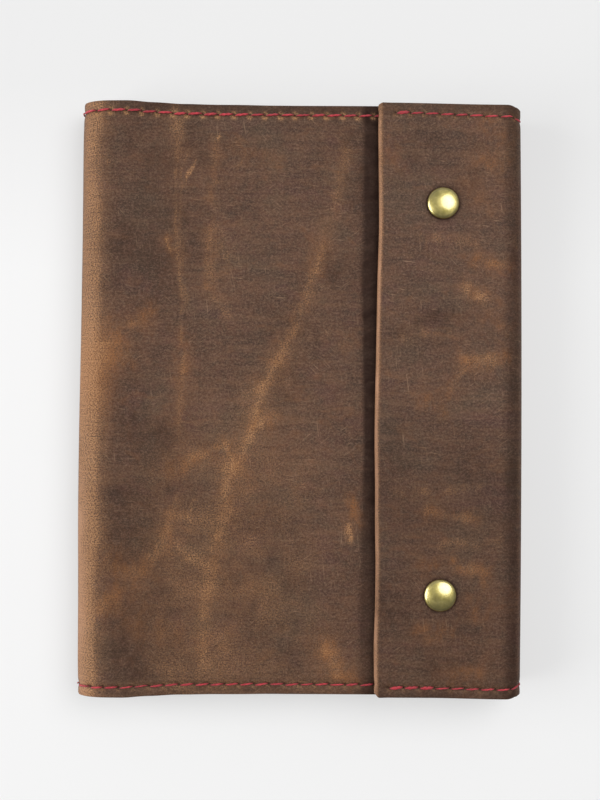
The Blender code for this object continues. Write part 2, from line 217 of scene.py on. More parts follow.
# ------------------------------------------------------------------ wear marks, set on the covers
# (kind, half width mm, strength, points): w rubbed tan, r rust, d dark; x from the spine side, y towards the head
FRONT_MARKS = [
    ("w", 3.0, .34, [(-47, 112), (-46, 95)]), ("r", 3.3, 0.12, [(-46, 104), (-47, 70), (-45, 42), (-44, 21)]),
    ("w", 0.7, .34, [(-47, 95), (-47, 70), (-45, 42), (-44, 21)]), ("w", 0.6, .22, [(-44, 92), (-45, 66), (-43, 36)]),
    ("r", 2.6, 0.39, [(-44, 22), (-43, 14), (-44, 7)]), ("w", 0.9, .30, [(-43, 16), (-45, -4), (-45, -15)]), ("r", 2.9, 0.14, [(-44, 4), (-46, -18)]),
    ("w", .45, .95, [(-40, 89), (-41, 85), (-43, 80)]), ("r", 1.3, 0.78, [(-50, 60), (-48, 56)]), ("w", .7, .7, [(-50, 59), (-48, 56)]),
    ("r", 2.6, 0.25, [(-33, 94), (-33, 70), (-34, 42)]), ("w", 1.3, .20, [(-33, 94), (-33, 70), (-34, 42)]),
    ("w", 3.4, .30, [(-31, 62), (-28, 56), (-31, 47)]), ("w", 2.0, .25, [(-32, 38), (-26, 31)]),
    ("w", .9, .85, [(-34, 98), (-31, 98)]), ("w", .6, .8, [(-73, 89), (-71, 90)]), ("w", .5, .6, [(-24, 88), (-20, 90)]), ("r", 3.5, 0.27, [(-24, 95), (-10, 90)]),
    ("r", 3.7, 0.16, [(17, 94), (13, 70), (8, 55)]), ("w", 2.4, .20, [(17, 94), (13, 70), (8, 55)]),
    ("r", 3.7, 0.27, [(8, 55), (3, 38), (-3, 26), (-7, 16)]), ("w", 2.6, .24, [(8, 55), (3, 38), (-2, 24)]), ("w", 0.8, .34, [(7, 52), (3, 38), (-1, 25)]),
    ("r", 3.5, 0.33, [(-7, 14), (-14, 3), (-15, -5)]), ("w", 2.7, .34, [(-2, 24), (-9, 11), (-15, 1), (-15, -5)]), ("w", 0.8, .30, [(-4, 20), (-11, 8), (-15, -3)]),
    ("r", 5.1, 0.74, [(-84, 10), (-75, 18), (-69, 21)]), ("w", 3.4, .55, [(-84, 10), (-75, 18)]),
    ("r", 3.3, 0.51, [(-69, 21), (-60, 28), (-56, 33)]), ("w", 1.8, .25, [(-74, 19), (-60, 28)]),
    ("r", 3.3, 0.47, [(-72, 15), (-64, 13)]),
    ("w", 2.4, .46, [(-15, -5), (-17, -11), (-21, -20), (-25, -27)]), ("w", 0.8, .36, [(-16, -7), (-20, -18), (-24, -26)]), ("r", 3.1, 0.39, [(-16, -8), (-21, -19), (-25, -27)]),
    ("w", 2.0, .60, [(-17, -11), (-10, -8)]), ("r", 2.9, 0.58, [(-18, -11), (-11, -9)]),
    ("r", 2.9, 0.62, [(-41, -24), (-34, -21), (-28, -19)]), ("w", 2.4, .55, [(-38, -22), (-28, -19)]), ("w", 0.8, .50, [(-36, -22), (-29, -19)]),
    ("r", 2.1, 0.70, [(-28, -19), (-23, -26)]), ("w", 1.4, .65, [(-28, -19), (-23, -26)]),
    ("r", 2.9, 0.55, [(-48, -26), (-43, -27), (-39, -23)]), ("w", 1.6, .14, [(-46, -27), (-40, -24)]),
    ("w", 2.6, .50, [(-24, -25), (-27, -40)]), ("r", 2.6, 0.35, [(-24, -25), (-27, -40)]),
    ("w", 2.5, .50, [(-27, -40), (-30, -56), (-33, -66), (-33, -72)]), ("r", 2.4, 0.28, [(-27, -40), (-30, -56), (-33, -72)]),
    ("w", 2.2, .22, [(-33, -72), (-35, -94), (-33, -100)]), ("r", 2.6, 0.20, [(-33, -72), (-35, -94)]),
    ("w", .45, .55, [(-38, -38), (-42, -46)]), ("w", 1.8, .40, [(-46, -37), (-50, -53), (-54, -61)]),
    ("r", 3.1, 0.51, [(-47, -43), (-51, -58), (-57, -64), (-65, -63)]), ("w", 1.6, .48, [(-48, -55), (-38, -61), (-34, -64)]),
    ("w", 1.0, .45, [(-44, -45), (-32, -47), (-30, -52)]), ("r", 5.5, 0.47, [(-72, -60), (-57, -68)]), ("w", 3.0, .28, [(-70, -62), (-58, -67)]),
    ("r", 4.6, 0.55, [(-74, -79), (-66, -73)]), ("w", 2.4, .25, [(-74, -79), (-66, -73)]), ("r", 4.8, 0.27, [(-66, -84), (-56, -90)]),
    ("r", 3.5, 0.70, [(10, -92), (15, -102), (21, -105)]), ("w", 2.2, .42, [(11, -92), (15, -102)]),
    ("r", 2.9, 0.51, [(20, -38), (22, -47)]), ("w", .7, .85, [(19, -48), (19, -53)]), ("w", .5, .5, [(0, -31), (8, -34)]),
    ("w", 2.8, .32, [(-49, -101), (-43, -104)]), ("w", 2.6, .32, [(-36, -91), (-33, -99)]), ("r", 4.0, 0.31, [(-58, -84), (-38, -92)]),
    ("w", 3.4, .20, [(-22, 0), (-6, 6)]), ("w", 3.4, .18, [(12, 26), (18, 20)]), ("r", 4.8, 0.23, [(-24, -68), (-14, -72)]),
    ("d", 12.3, 0.22, [(-64, -62), (-56, -78), (-60, -92)]), ("d", 10.4, 0.19, [(-62, 4), (-60, -20)]), ("d", 10.4, 0.22, [(-50, 88), (-60, 62)]), ("d", 7.8, 0.21, [(-52, 66), (-51, 38)]), ("d", 7.8, 0.15, [(-45, -22), (-46, -32)]),
    ("d", 9.0, 0.26, [(-50, -16), (-50, -32)]), ("d", 12.0, 0.20, [(-48, -68), (-46, -90)]), ("d", 8.0, 0.20, [(-22, -72), (-23, -92)]),
    ("d", 9.0, 0.20, [(-71, -60), (-66, -78)]), ("d", 12.0, 0.20, [(-66, -44), (-60, -54)]), ("w", 2.4, .26, [(-35, -74), (-35, -86), (-36, -94), (-35, -104)]),
    ("d", 8.5, 0.41, [(-68, -40), (-61, -46), (-63, -54)]), ("d", 7.8, 0.44, [(-69, -95), (-60, -103)]),
    ("d", 6.5, 0.37, [(-62, -9), (-53, -12)]), ("d", 6.5, 0.37, [(-26, -47), (-13, -48)]), ("d", 7.0, 0.37, [(-64, 98), (-56, 92)]),
    ("d", 5.7, 0.37, [(12, 52), (15, 45)]), ("d", 5.7, 0.33, [(-10, -65), (-4, -68)]), ("d", 6.5, 0.33, [(-42, 98), (-38, 92)]),
    ("d", 6.8, 0.33, [(-41, 70), (-39, 58)]), ("d", 7.8, 0.30, [(-62, 52), (-54, 56)]), ("d", 6.5, 0.31, [(-7, 8), (-5, 0)]),
    ("d", 7.8, 0.28, [(-70, 45), (-68, 70)]), ("d", 9.1, 0.31, [(15, 104), (21, 84)]), ("d", 6.5, 0.30, [(-8, 26), (6, 22)]), ("d", 6.5, 0.31, [(-12, -80), (-6, -90)]),
]
FLAP_MARKS = [
    ("r", 5.3, 0.40, [(70, 102), (75, 97)]), ("r", 3.9, 0.43, [(68, 89), (76, 87)]), ("r", 3.0, 0.53, [(66, 52), (79, 49)]), ("w", 1.8, 0.26, [(70, 51), (78, 49)]),
    ("w", 2.2, 0.42, [(63, 40), (68, 38)]), ("r", 3.0, 0.28, [(62, 40), (69, 38)]), ("r", 3.0, 0.62, [(62, 15), (69, 14), (76, 15)]), ("w", 1.8, 0.53, [(63, 15), (71, 14)]),
    ("r", 2.5, 0.46, [(63, 14), (59, 9), (56, 1)]), ("w", 1.4, 0.26, [(61, 11), (57, 3)]), ("r", 3.2, 0.37, [(48, -1), (54, -5)]),
    ("r", 2.5, 0.50, [(48, -42), (65, -44)]), ("w", 1.7, 0.38, [(49, -42), (63, -44)]),
    ("r", 2.5, 0.53, [(46, -62), (50, -63)]), ("r", 2.5, 0.56, [(57, -62), (69, -64), (69, -70)]), ("w", 1.5, 0.32, [(58, -62), (68, -64)]),
    ("r", 3.2, 0.50, [(46, -87), (55, -86)]), ("r", 4.4, 0.40, [(58, -102), (67, -101)]), ("r", 2.5, 0.34, [(65, -75), (67, -82)]),
    ("w", 1.8, 0.29, [(39, 23), (56, 25)]), ("w", 0.6, 0.84, [(80, 60), (80, 57)]), ("w", 1.6, 0.27, [(37, -35), (67, -34)]), ("r", 3.9, 0.22, [(60, 80), (72, 70)]),
    ("r", 4.1, 0.25, [(34, 98), (36, 86)]), ("w", 1.8, 0.23, [(46, 60), (66, 58)]), ("w", 2.0, 0.25, [(54, -54), (74, -53)]), ("r", 3.0, 0.28, [(70, 30), (78, 26)]),
    ("d", 6.5, 0.44, [(33, -72), (36, -82)]), ("d", 5.7, 0.37, [(52, 29), (58, 32)]), ("d", 5.5, 0.37, [(37, 25), (45, 27)]),
    ("d", 5.7, 0.33, [(62, 82), (69, 83)]), ("d", 6.0, 0.37, [(49, -98), (55, -99)]), ("d", 6.5, 0.33, [(34, -14), (38, -26)]), ("d", 7.0, 0.26, [(52, -76), (58, -82)]),
    ("d", 7.8, 0.26, [(40, 88), (46, 96)]), ("d", 7.2, 0.30, [(60, -24), (74, -28)]),
]


def random_marks(seed, x0, x1, count):
    """Wear of the same kind for the faces that lie out of sight."""
    rng = np.random.default_rng(seed)
    out = []
    for _ in range(count):
        x, y = rng.uniform(x0, x1), rng.uniform(-100, 100)
        along = rng.random() < 0.6
        n = rng.integers(2, 5)
        pts = [(x, y)]
        for _ in range(n):
            x += rng.normal(0, 2.0) if along else rng.normal(0, 8)
            y += rng.normal(-14, 5) if along else rng.normal(0, 3)
            pts.append((x, y))
        out.append((rng.choice(["w", "r", "w", "d"]), rng.uniform(0.8, 3.0), rng.uniform(0.2, 0.6), pts))
    return out


def paint(marks, x, y):
    """Strength of each kind of mark at the points x, y."""
    wx = x + 1.6 * fbm(x / 7, y / 7, 91) + 0.9 * fbm(x / 1.8, y / 1.8, 92)
    wy = y + 1.6 * fbm(x / 7, y / 7, 93) + 0.9 * fbm(x / 1.8, y / 1.8, 94)
    out = {"w": np.zeros(x.shape), "r": np.zeros(x.shape), "d": np.zeros(x.shape)}
    for n, (kind, width, strength, pts) in enumerate(marks):
        best = np.full(x.shape, 1e9)
        for (ax, ay), (bx, by) in zip(pts, pts[1:]):
            dx, dy = bx - ax, by - ay
            t = np.clip(((wx - ax) * dx + (wy - ay) * dy) / (dx * dx + dy * dy), 0, 1)
            best = np.minimum(best, np.hypot(wx - ax - t * dx, wy - ay - t * dy))
        patchy = 0.68 + 1.0 * fbm(x / 3.4 + n, y / 5, 95) + 0.75 * fbm(x / 1.4 + n, y / 1.7, 96, 2)
        v = 0.80 * strength * (0.72 * np.exp(-(best / (0.78 * width)) ** 2) + 0.40 * np.exp(-(best / (1.7 * width)) ** 2)) * np.clip(patchy, 0, 2)
        out[kind] = 1 - (1 - out[kind]) * (1 - np.clip(v, 0, 1))
    return out


# ------------------------------------------------------------------ seams
def seam_holes(first, last, pitch, seed):
    rng = np.random.default_rng(seed)
    n = max(1, int(round(abs(last - first) / pitch)))
    h = np.linspace(first, last, n + 1)
    h[1:-1] += rng.normal(0, 0.16, n - 1)
    return h


# ------------------------------------------------------------------ meshes
def make_mesh(name, verts, faces, sharp=38):
    """Vertices in mm, each face a tuple; outward by the sign of its volume."""
    m = bpy.data.meshes.new(name)
    m.from_pydata([tuple(v) for v in np.asarray(verts) * MM], [], faces)
    m.validate()
    m.update()
    m.calc_loop_triangles()
    tri = np.empty(len(m.loop_triangles) * 3, np.int32)
    m.loop_triangles.foreach_get("vertices", tri)
    co = np.empty(len(m.vertices) * 3)
    m.vertices.foreach_get("co", co)
    p = co.reshape(-1, 3)[tri.reshape(-1, 3)]
    if np.einsum("ij,ij->i", p[:, 0], np.cross(p[:, 1], p[:, 2])).sum() < 0:
        m.flip_normals()
    m.shade_smooth()
    m.set_sharp_from_angle(angle=math.radians(sharp))
    ob = bpy.data.objects.new(name, m)
    bpy.context.scene.collection.objects.link(ob)
    return ob


def put_attr(ob, name, values):
    a = ob.data.attributes.new(name, "FLOAT", "POINT")
    a.data.foreach_set("value", np.asarray(values, np.float32).ravel())


def put_vec(ob, name, values):
    a = ob.data.attributes.new(name, "FLOAT_VECTOR", "POINT")
    a.data.foreach_set("vector", np.asarray(values, np.float32).ravel())


def y_lines(middle):
    e = [0.0, 0.10, 0.24, 0.42, 0.7]
    e += list(np.arange(1.05, 7.2, 0.35))
    edge = HALF_H - np.array(e)
    n = int(round(2 * edge[-1] / middle))
    mid = np.linspace(-edge[-1], edge[-1], n + 1)[1:-1]
    return np.r_[-edge, mid, edge[::-1]]


def skin(name, key, route, spacing, middle, thick, drop, marks=None, holes=None, floor=False):
    """A closed sheet along a route: fine grain face, coarser flesh face, rounded cut edges."""
    s = route.stations(spacing)
    P, N = route.at(s), route.at(s, "n")
    N /= np.linalg.norm(N, axis=1)[:, None]
    X, Z = P[:, 0], P[:, 1]
    T = thick(X, Z)
    v = y_lines(middle)
    n, m = len(s), len(v)
    vv = np.broadcast_to(v, (n, m))
    ss = np.broadcast_to(s[:, None], (n, m))
    xx, zz = np.broadcast_to(X[:, None], (n, m)), np.broadcast_to(Z[:, None], (n, m))
    y = vv * half_height(xx, zz, vv) / HALF_H
    d = drop(xx, zz, vv, ss)
    # the seam: a shallow valley with a pucker at each hole
    for side in (1, -1):
        line = seam_at(xx, zz, side)
        on = np.exp(-0.5 * ((vv - line) / 0.9) ** 2)
        d = d - 0.30 * on * (0.8 + 0.2 * np.sin(ss * 0.7))
        if holes is not None:
            for h in holes[side]:
                near = np.abs(s - h) < 3
                d[near] -= 0.42 * np.exp(-0.5 * (((ss[near] - h) / 0.65) ** 2 + ((vv[near] - line[near]) / 0.55) ** 2))
    edge = HALF_H - np.abs(vv)
    r = 0.42
    d = d - np.where(edge < r, r - np.sqrt(np.clip(r * r - (r - edge) ** 2, 0, None)), 0)
    if floor:
        limit = zz / np.where(N[:, 1:2] < -0.05, -N[:, 1:2], 1e9)
        d = np.where(N[:, 1:2] < -0.05, np.minimum(d, np.maximum(limit, 0)), d)
    gx = xx + N[:, :1] * d + shift(xx, zz, y)
    gz = zz + N[:, 1:] * d
    if floor:
        gz = np.maximum(gz, 0.0)
    grain = np.stack([gx, y, gz], -1)
    # flesh face on fewer lines
    k = np.unique(np.r_[0, np.arange(4, m - 4, 5), m - 1])
    fy = y[:, k] * 1.0
    f = P[:, None, :] - N[:, None, :] * T[:, None, None]
    fx = np.broadcast_to(f[:, :, 0], fy.shape) + shift(xx[:, k], zz[:, k], fy)
    fz = np.broadcast_to(f[:, :, 1], fy.shape)
    flesh = np.stack([fx, fy, fz], -1)
    rims = []
    for j, jj in ((0, 0), (m - 1, len(k) - 1)):
        g, q = grain[:, j], flesh[:, jj]
        rims.append([g * (1 - t) + q * t + np.array([0, 1 if j else -1, 0]) * 0.05 for t in (0.3, 0.75)])
    verts = [grain.reshape(-1, 3), flesh.reshape(-1, 3)] + [r for pair in rims for r in pair]
    base = np.cumsum([0] + [len(a) for a in verts])
    gi = base[0] + np.arange(n * m).reshape(n, m)
    fi = base[1] + np.arange(n * len(k)).reshape(n, len(k))
    ri = [[base[2] + np.arange(n), base[3] + np.arange(n)], [base[4] + np.arange(n), base[5] + np.arange(n)]]
    faces = []

    def grid(a, flip):
        q = np.stack([a[:-1, :-1], a[1:, :-1], a[1:, 1:], a[:-1, 1:]], -1).reshape(-1, 4)
        faces.extend(map(tuple, (q[:, ::-1] if flip else q).tolist()))

    grid(gi, False)
    grid(fi, True)
    for e, (j, jj) in enumerate(((0, 0), (m - 1, len(k) - 1))):
        strip = np.stack([gi[:, j], ri[e][0], ri[e][1], fi[:, jj]], 1)
        grid(strip, e == 0)
    for i, flip in ((0, False), (n - 1, True)):
        top = list(gi[i])
        low = [ri[0][0][i], ri[0][1][i], *fi[i], ri[1][1][i], ri[1][0][i]]
        yt = np.r_[grain[i, :, 1]]
        yl = np.r_[-1e3, -1e3, flesh[i, :, 1], 1e3, 1e3]
        a = b = 0
        while a < len(top) - 1 or b < len(low) - 1:
            step_a = b == len(low) - 1 or (a < len(top) - 1 and yt[a + 1] <= yl[b + 1])
            t3 = (top[a], top[a + 1], low[b]) if step_a else (top[a], low[b + 1], low[b])
            faces.append(tuple(int(q) for q in (t3[::-1] if flip else t3)))
            a, b = (a + 1, b) if step_a else (a, b + 1)
    V = np.concatenate(verts)
    ob = make_mesh(name, V, faces)
    # attributes
    u = U0[key] + s
    nf = len(k)
    hp = np.concatenate([np.stack([np.broadcast_to(u[:, None], (n, m)), y, np.zeros((n, m))], -1).reshape(-1, 3),
                         np.stack([np.broadcast_to(u[:, None], (n, nf)), fy, np.full((n, nf), 40.0)], -1).reshape(-1, 3)]
                        + [np.stack([u, np.full(n, (1 if e else -1) * HALF_H), np.full(n, 0.6 + 0.5 * q)], -1) for e in (0, 1) for q in (0, 1)])
    put_vec(ob, "hidepos", hp)
    flesh_side = np.concatenate([np.zeros(n * m), np.ones(n * nf), np.zeros(4 * n)])
    cut_edge = np.concatenate([np.where(edge < 0.2, 0.5, 0).ravel(), np.zeros(n * nf), np.ones(4 * n)])
    put_attr(ob, "flesh", flesh_side)
    put_attr(ob, "cut", cut_edge)
    w, r_, dk, pl = (np.zeros((n, m)) for _ in range(4))
    if marks is not None:
        w, r_, dk, pl = marks(xx, zz, y, ss)
    pad = np.zeros(n * nf + 4 * n)
    # the rubbed and lightened values carry some painted highlight, the darkened values some painted shade
    put_attr(ob, "wear_and_highlight", np.r_[np.clip(w, 0, 1).ravel(), pad])
    put_attr(ob, "rust", np.r_[np.clip(r_, 0, 1).ravel(), pad])
    put_attr(ob, "dark_and_shade", np.r_[np.clip(dk, 0, 1).ravel(), pad])
    put_attr(ob, "pale_rub_and_highlight", np.r_[np.clip(pl, 0, 1).ravel(), pad])
    return ob


def stitch_run(name, route, holes, side, seed, lift=0.0, inner=None, gauge=1.0, double=()):
    """Slanted thread stitches between the holes, two twisted plies each."""
    rng = np.random.default_rng(seed)
    V, F, S = [], [], []
    ring, steps = 10, 13
    P = lambda s: route.at(np.atleast_1d(s))
    for n_, (h0, h1) in enumerate(zip(holes, holes[1:])):
        if inner is None:
            a, b = h0 + 0.30, h1 - 0.30
        else:
            a, b = h0 + 0.3, h1 - 0.3
        slant = 0.24 + rng.normal(0, 0.06)
        t = np.linspace(0, 1, steps)
        s = a + (b - a) * t
        p, nn = route.at(s), route.at(s, "n")
        nn /= np.linalg.norm(nn, axis=1)[:, None]
        H = half_height(p[:, 0], p[:, 1], side * HALF_H) / HALF_H
        yy = seam_at(p[:, 0], p[:, 1], side) * H + (t - 0.5) * 2 * slant + rng.normal(0, 0.05)
        rise = (0.10 + rng.normal(0, 0.03)) * (1 - np.abs(2 * t - 1) ** 3) - 0.80 * np.abs(2 * t - 1) ** 7 - 0.22
        if inner is not None:
            rise = rise + 0.10
        base = p + nn * (rise + lift)[:, None] if inner is None else p - nn * (inner + rise)[:, None]
        c = np.stack([base[:, 0] + shift(p[:, 0], p[:, 1], yy), yy, base[:, 1]], 1)
        tan = np.gradient(c, axis=0)
        tan /= np.linalg.norm(tan, axis=1)[:, None]
        n3 = np.stack([nn[:, 0], np.zeros(steps), nn[:, 1]], 1)
        sidev = np.cross(tan, n3)
        sidev /= np.linalg.norm(sidev, axis=1)[:, None]
        up = np.cross(sidev, tan)
        wide = 0.42 * gauge * (0.34 + 0.66 * (1 - np.abs(2 * t - 1) ** 3.2)) * (1 + rng.normal(0, 0.08))
        if n_ in double:
            wide = wide * 1.55
        # per-stitch tone, and painted shade: each stitch darkens towards its ends, where it dives into the hole
        light = (0.72 + 0.28 * rng.random()) * (1 - 0.75 * np.abs(2 * t - 1) ** 3.5)
        i0 = len(V)
        for j in range(steps):
            for q in range(ring):
                th = 2 * math.pi * q / ring
                twist = math.cos(2 * th - t[j] * (b - a) * 3.4)
                V.append(c[j] + (1 + 0.13 * twist) * (wide[j] * math.cos(th) * sidev[j] + 0.27 * math.sin(th) * up[j]))
                # the twist's grooves are painted a little darker (painted shade)
                S.append(light[j] * (0.90 + 0.10 * twist))
        for j in range(steps - 1):
            for q in range(ring):
                q2 = (q + 1) % ring
                F.append((i0 + j * ring + q, i0 + j * ring + q2, i0 + (j + 1) * ring + q2, i0 + (j + 1) * ring + q))
        F.append(tuple(i0 + q for q in range(ring))[::-1])
        F.append(tuple(i0 + (steps - 1) * ring + q for q in range(ring)))
    ob = make_mesh(name, V, F, sharp=60)
    put_attr(ob, "light", S)
    return ob


def lathe(name, profile, x, y, segments=112, closed=False, bumps=None):
    """A turned piece; the profile runs (radius, z) in mm, from the axis or round a ring."""
    prof = np.array(profile, float)
    V, F, rows = [], [], []
    for r, z in prof:
        if r < 1e-6:
            V.append((x, y, z))
            rows.append([len(V) - 1])
        else:
            i = len(V)
            for q in range(segments):
                a = 2 * math.pi * q / segments
                dr = 0 if bumps is None else bumps(r, a)
                V.append((x + (r + dr) * math.cos(a), y + (r + dr) * math.sin(a), z))
            rows.append(list(range(i, i + segments)))
    pairs = list(zip(rows, rows[1:])) + ([(rows[-1], rows[0])] if closed else [])
    for a, b in pairs:
        for q in range(segments):
            q2 = (q + 1) % segments
            if len(a) == 1 and len(b) == 1:
                continue
            if len(a) == 1:
                F.append((a[0], b[q], b[q2]))
            elif len(b) == 1:
                F.append((a[q], b[0], a[q2]))
            else:
                F.append((a[q], b[q], b[q2], a[q2]))
    ob = make_mesh(name, V, F, sharp=40)
    rr = np.hypot(np.array(V)[:, 0] - x, np.array(V)[:, 1] - y)
    put_attr(ob, "radius", rr)
    return ob


# ------------------------------------------------------------------ materials
class Nodes:
    def __init__(self, name):
        self.m = bpy.data.materials.new(name)
        self.m.use_nodes = True
        self.t = self.m.node_tree
        self.b = self.t.nodes["Principled BSDF"]

    def new(self, kind, **kw):
        n = self.t.nodes.new(kind)
        for k, v in kw.items():
            setattr(n, k, v)
        return n

    def plug(self, a, b):
        if isinstance(a, (int, float)):
            b.default_value = a
        elif isinstance(a, tuple):
            b.default_value = a if len(a) == len(b.default_value) else (*a, 1)
        else:
            self.t.links.new(a, b)

    def attr(self, name, vec=False):
        n = self.new("ShaderNodeAttribute", attribute_name=name, attribute_type="GEOMETRY")
        return n.outputs["Vector" if vec else "Fac"]

    def math(self, op, a, b=0.0, c=0.0, clamp=False):
        n = self.new("ShaderNodeMath", operation=op, use_clamp=clamp)
        self.plug(a, n.inputs[0]); self.plug(b, n.inputs[1]); self.plug(c, n.inputs[2])
        return n.outputs[0]

    def vmul(self, v, k):
        n = self.new("ShaderNodeVectorMath", operation="MULTIPLY")
        self.plug(v, n.inputs[0]); self.plug(k, n.inputs[1])
        return n.outputs[0]

    def noise(self, v, scale, detail=3.0, rough=0.55, warp=0.0):
        n = self.new("ShaderNodeTexNoise")
        self.plug(v, n.inputs["Vector"])
        n.inputs["Scale"].default_value = scale
        n.inputs["Detail"].default_value = detail
        n.inputs["Roughness"].default_value = rough
        n.inputs["Distortion"].default_value = warp
        return n.outputs["Fac"]

    def cells(self, v, scale, feature="F1", out="Distance"):
        n = self.new("ShaderNodeTexVoronoi", feature=feature)
        self.plug(v, n.inputs["Vector"])
        n.inputs["Scale"].default_value = scale
        return n.outputs[out]

    def span(self, v, a, b, c=0.0, d=1.0):
        n = self.new("ShaderNodeMapRange", clamp=True)
        self.plug(v, n.inputs[0])
        for i, q in enumerate((a, b, c, d)):
            n.inputs[i + 1].default_value = q
        return n.outputs[0]

    def mix(self, f, a, b, mode="MIX"):
        n = self.new("ShaderNodeMix", data_type="RGBA", blend_type=mode, clamp_factor=True)
        self.plug(f, n.inputs[0]); self.plug(a, n.inputs[6]); self.plug(b, n.inputs[7])
        return n.outputs[2]

    def bump(self, h, strength, dist, under=None):
        n = self.new("ShaderNodeBump")
        n.inputs["Strength"].default_value = strength
        n.inputs["Distance"].default_value = dist
        self.plug(h, n.inputs["Height"])
        if under is not None:
            self.plug(under, n.inputs["Normal"])
        return n.outputs[0]

    def done(self, colour=None, rough=None, normal=None, **fixed):
        if colour is not None:
            self.plug(colour, self.b.inputs["Base Color"])
        if rough is not None:
            self.plug(rough, self.b.inputs["Roughness"])
        if normal is not None:
            self.plug(normal, self.b.inputs["Normal"])
        for k, v in fixed.items():
            self.b.inputs[k.replace("_", " ")].default_value = v
        return self.m


def leather(name, inside=False):
    """Oil-tanned hide: mottled brown, fine crosswise grain, tan where rubbed, rust where pulled; the lightening
    attributes also carry painted highlight and the darkening one painted shade.
    """
    g = Nodes(name)
    hp = g.attr("hidepos", vec=True)
    broad = g.noise(hp, 0.035, 4, 0.6, 0.9)
    cloud = g.noise(g.vmul(hp, (0.85, 1.2, 1.0)), 0.17, 5, 0.62, 0.6)
    across = g.noise(g.vmul(hp, (0.62, 1.15, 1.0)), 1.0, 4, 0.62, 0.5)
    fine = g.noise(g.vmul(hp, (1.0, 1.1, 1.0)), 1.25, 4, 0.7)
    grit = g.noise(hp, 6.5, 2, 0.6)
    tone = g.math("ADD", g.math("MULTIPLY", broad, 0.32), g.math("MULTIPLY", cloud, 0.28))
    tone = g.math("ADD", tone, g.math("MULTIPLY", across, 0.18))
    tone = g.math("ADD", tone, g.math("MULTIPLY", fine, 0.22))
    tone = g.span(tone, 0.40, 0.60)
    base = g.mix(tone, (0.044, 0.0240, 0.0162), (0.112, 0.0560, 0.0325))
    olive = g.span(g.noise(hp, 0.045, 3, 0.55, 0.5), 0.50, 0.66)
    base = g.mix(g.math("MULTIPLY", olive, 0.62), base, (0.066, 0.045, 0.030))
    plum = g.span(g.noise(g.vmul(hp, (1.0, 1.3, 1.0)), 0.055, 3, 0.55, 0.5), 0.55, 0.70)
    base = g.mix(g.math("MULTIPLY", plum, 0.62), base, (0.080, 0.036, 0.030))
    tint = g.noise(hp, 0.30, 3, 0.6, 0.4)
    base = g.mix(g.span(tint, 0.52, 0.68, 0.0, 0.45), base, (0.098, 0.048, 0.034))
    base = g.mix(g.span(tint, 0.48, 0.32, 0.0, 0.45), base, (0.052, 0.036, 0.025))
    bands = g.noise(g.vmul(hp, (0.045, 0.42, 1.0)), 1.0, 4, 0.6, 0.6)
    base = g.mix(g.span(bands, 0.50, 0.66, 0.0, 0.30), base, (0.150, 0.084, 0.048))
    base = g.mix(g.span(bands, 0.50, 0.36, 0.0, 0.32), base, (0.040, 0.0225, 0.016))
    micro = g.noise(g.vmul(hp, (0.95, 1.15, 1.0)), 1.1, 5, 0.76, 0.2)
    stipple = g.noise(hp, 1.9, 3, 0.7)
    base = g.mix(g.span(micro, 0.50, 0.66, 0.0, 0.62), base, (0.190, 0.119, 0.086))
    base = g.mix(g.span(micro, 0.50, 0.33, 0.0, 0.62), base, (0.027, 0.0105, 0.0050))
    base = g.mix(g.span(stipple, 0.54, 0.70, 0.0, 0.50), base, (0.205, 0.135, 0.097))
    for angle, long, thin, where, much in ((0.12, 0.16, 2.0, 0.06, 0.55), (-0.62, 0.13, 2.2, 0.05, 0.45), (1.45, 0.10, 1.8, 0.045, 0.50), (0.75, 0.15, 2.4, 0.055, 0.40)):
        turn = g.new("ShaderNodeVectorRotate", rotation_type="Z_AXIS")
        g.plug(hp, turn.inputs["Vector"])
        turn.inputs["Angle"].default_value = angle
        line = g.noise(g.vmul(turn.outputs[0], (long, thin, 1.0)), 1.0, 2, 0.5)
        patch = g.span(g.noise(turn.outputs[0], where, 2, 0.5), 0.50, 0.62)
        line = g.math("MULTIPLY", g.span(line, 0.635, 0.70), patch)
        base = g.mix(g.math("MULTIPLY", line, much), base, (0.27, 0.175, 0.115))
    # small rubbed flecks, mostly crosswise
    fleck = g.span(across, 0.62, 0.80)
    base = g.mix(g.math("MULTIPLY", fleck, 0.50), base, (0.22, 0.130, 0.085))
    warm = g.span(g.noise(g.vmul(hp, (0.8, 1.5, 1.0)), 0.075, 5, 0.62, 1.4), 0.56, 0.74)
    base = g.mix(g.math("MULTIPLY", warm, 0.30), base, (0.185, 0.080, 0.034))
    pits = g.span(g.cells(g.vmul(hp, (1.0, 1.5, 1.0)), 1.15), 0.0, 0.28, 1.0, 0.0)
    base = g.mix(g.math("MULTIPLY", pits, 0.28), base, (0.040, 0.020, 0.013))
    grains = g.noise(g.vmul(hp, (1.0, 1.15, 1.0)), 1.65, 3, 0.72)
    breakup = g.span(g.math("ADD", g.math("MULTIPLY", grains, 0.60), g.math("MULTIPLY", stipple, 0.40)), 0.440, 0.570, 0.02, 1.84)
    rust = g.math("MULTIPLY", g.attr("rust"), g.span(breakup, 0.0, 1.7, 0.45, 1.35), clamp=True)
    wear_and_highlight = g.math("MULTIPLY", g.attr("wear_and_highlight"), breakup, clamp=True)
    dark_and_shade = g.math("MULTIPLY", g.attr("dark_and_shade"), g.span(cloud, 0.3, 0.7, 0.75, 1.1), clamp=True)
    base = g.mix(g.math("MULTIPLY", rust, 0.79), base, (0.248, 0.101, 0.032))
    # rubbed tan; on the spine fold and the flap's lip partly painted highlight
    base = g.mix(g.math("MULTIPLY", wear_and_highlight, 0.86), base, g.mix(g.span(stipple, 0.42, 0.60), (0.300, 0.155, 0.070), (0.400, 0.218, 0.106)))
    # lightened spine side and flap lip: partly painted highlight
    base = g.mix(g.math("MULTIPLY", g.attr("pale_rub_and_highlight"), 0.85), base, (0.430, 0.245, 0.155))
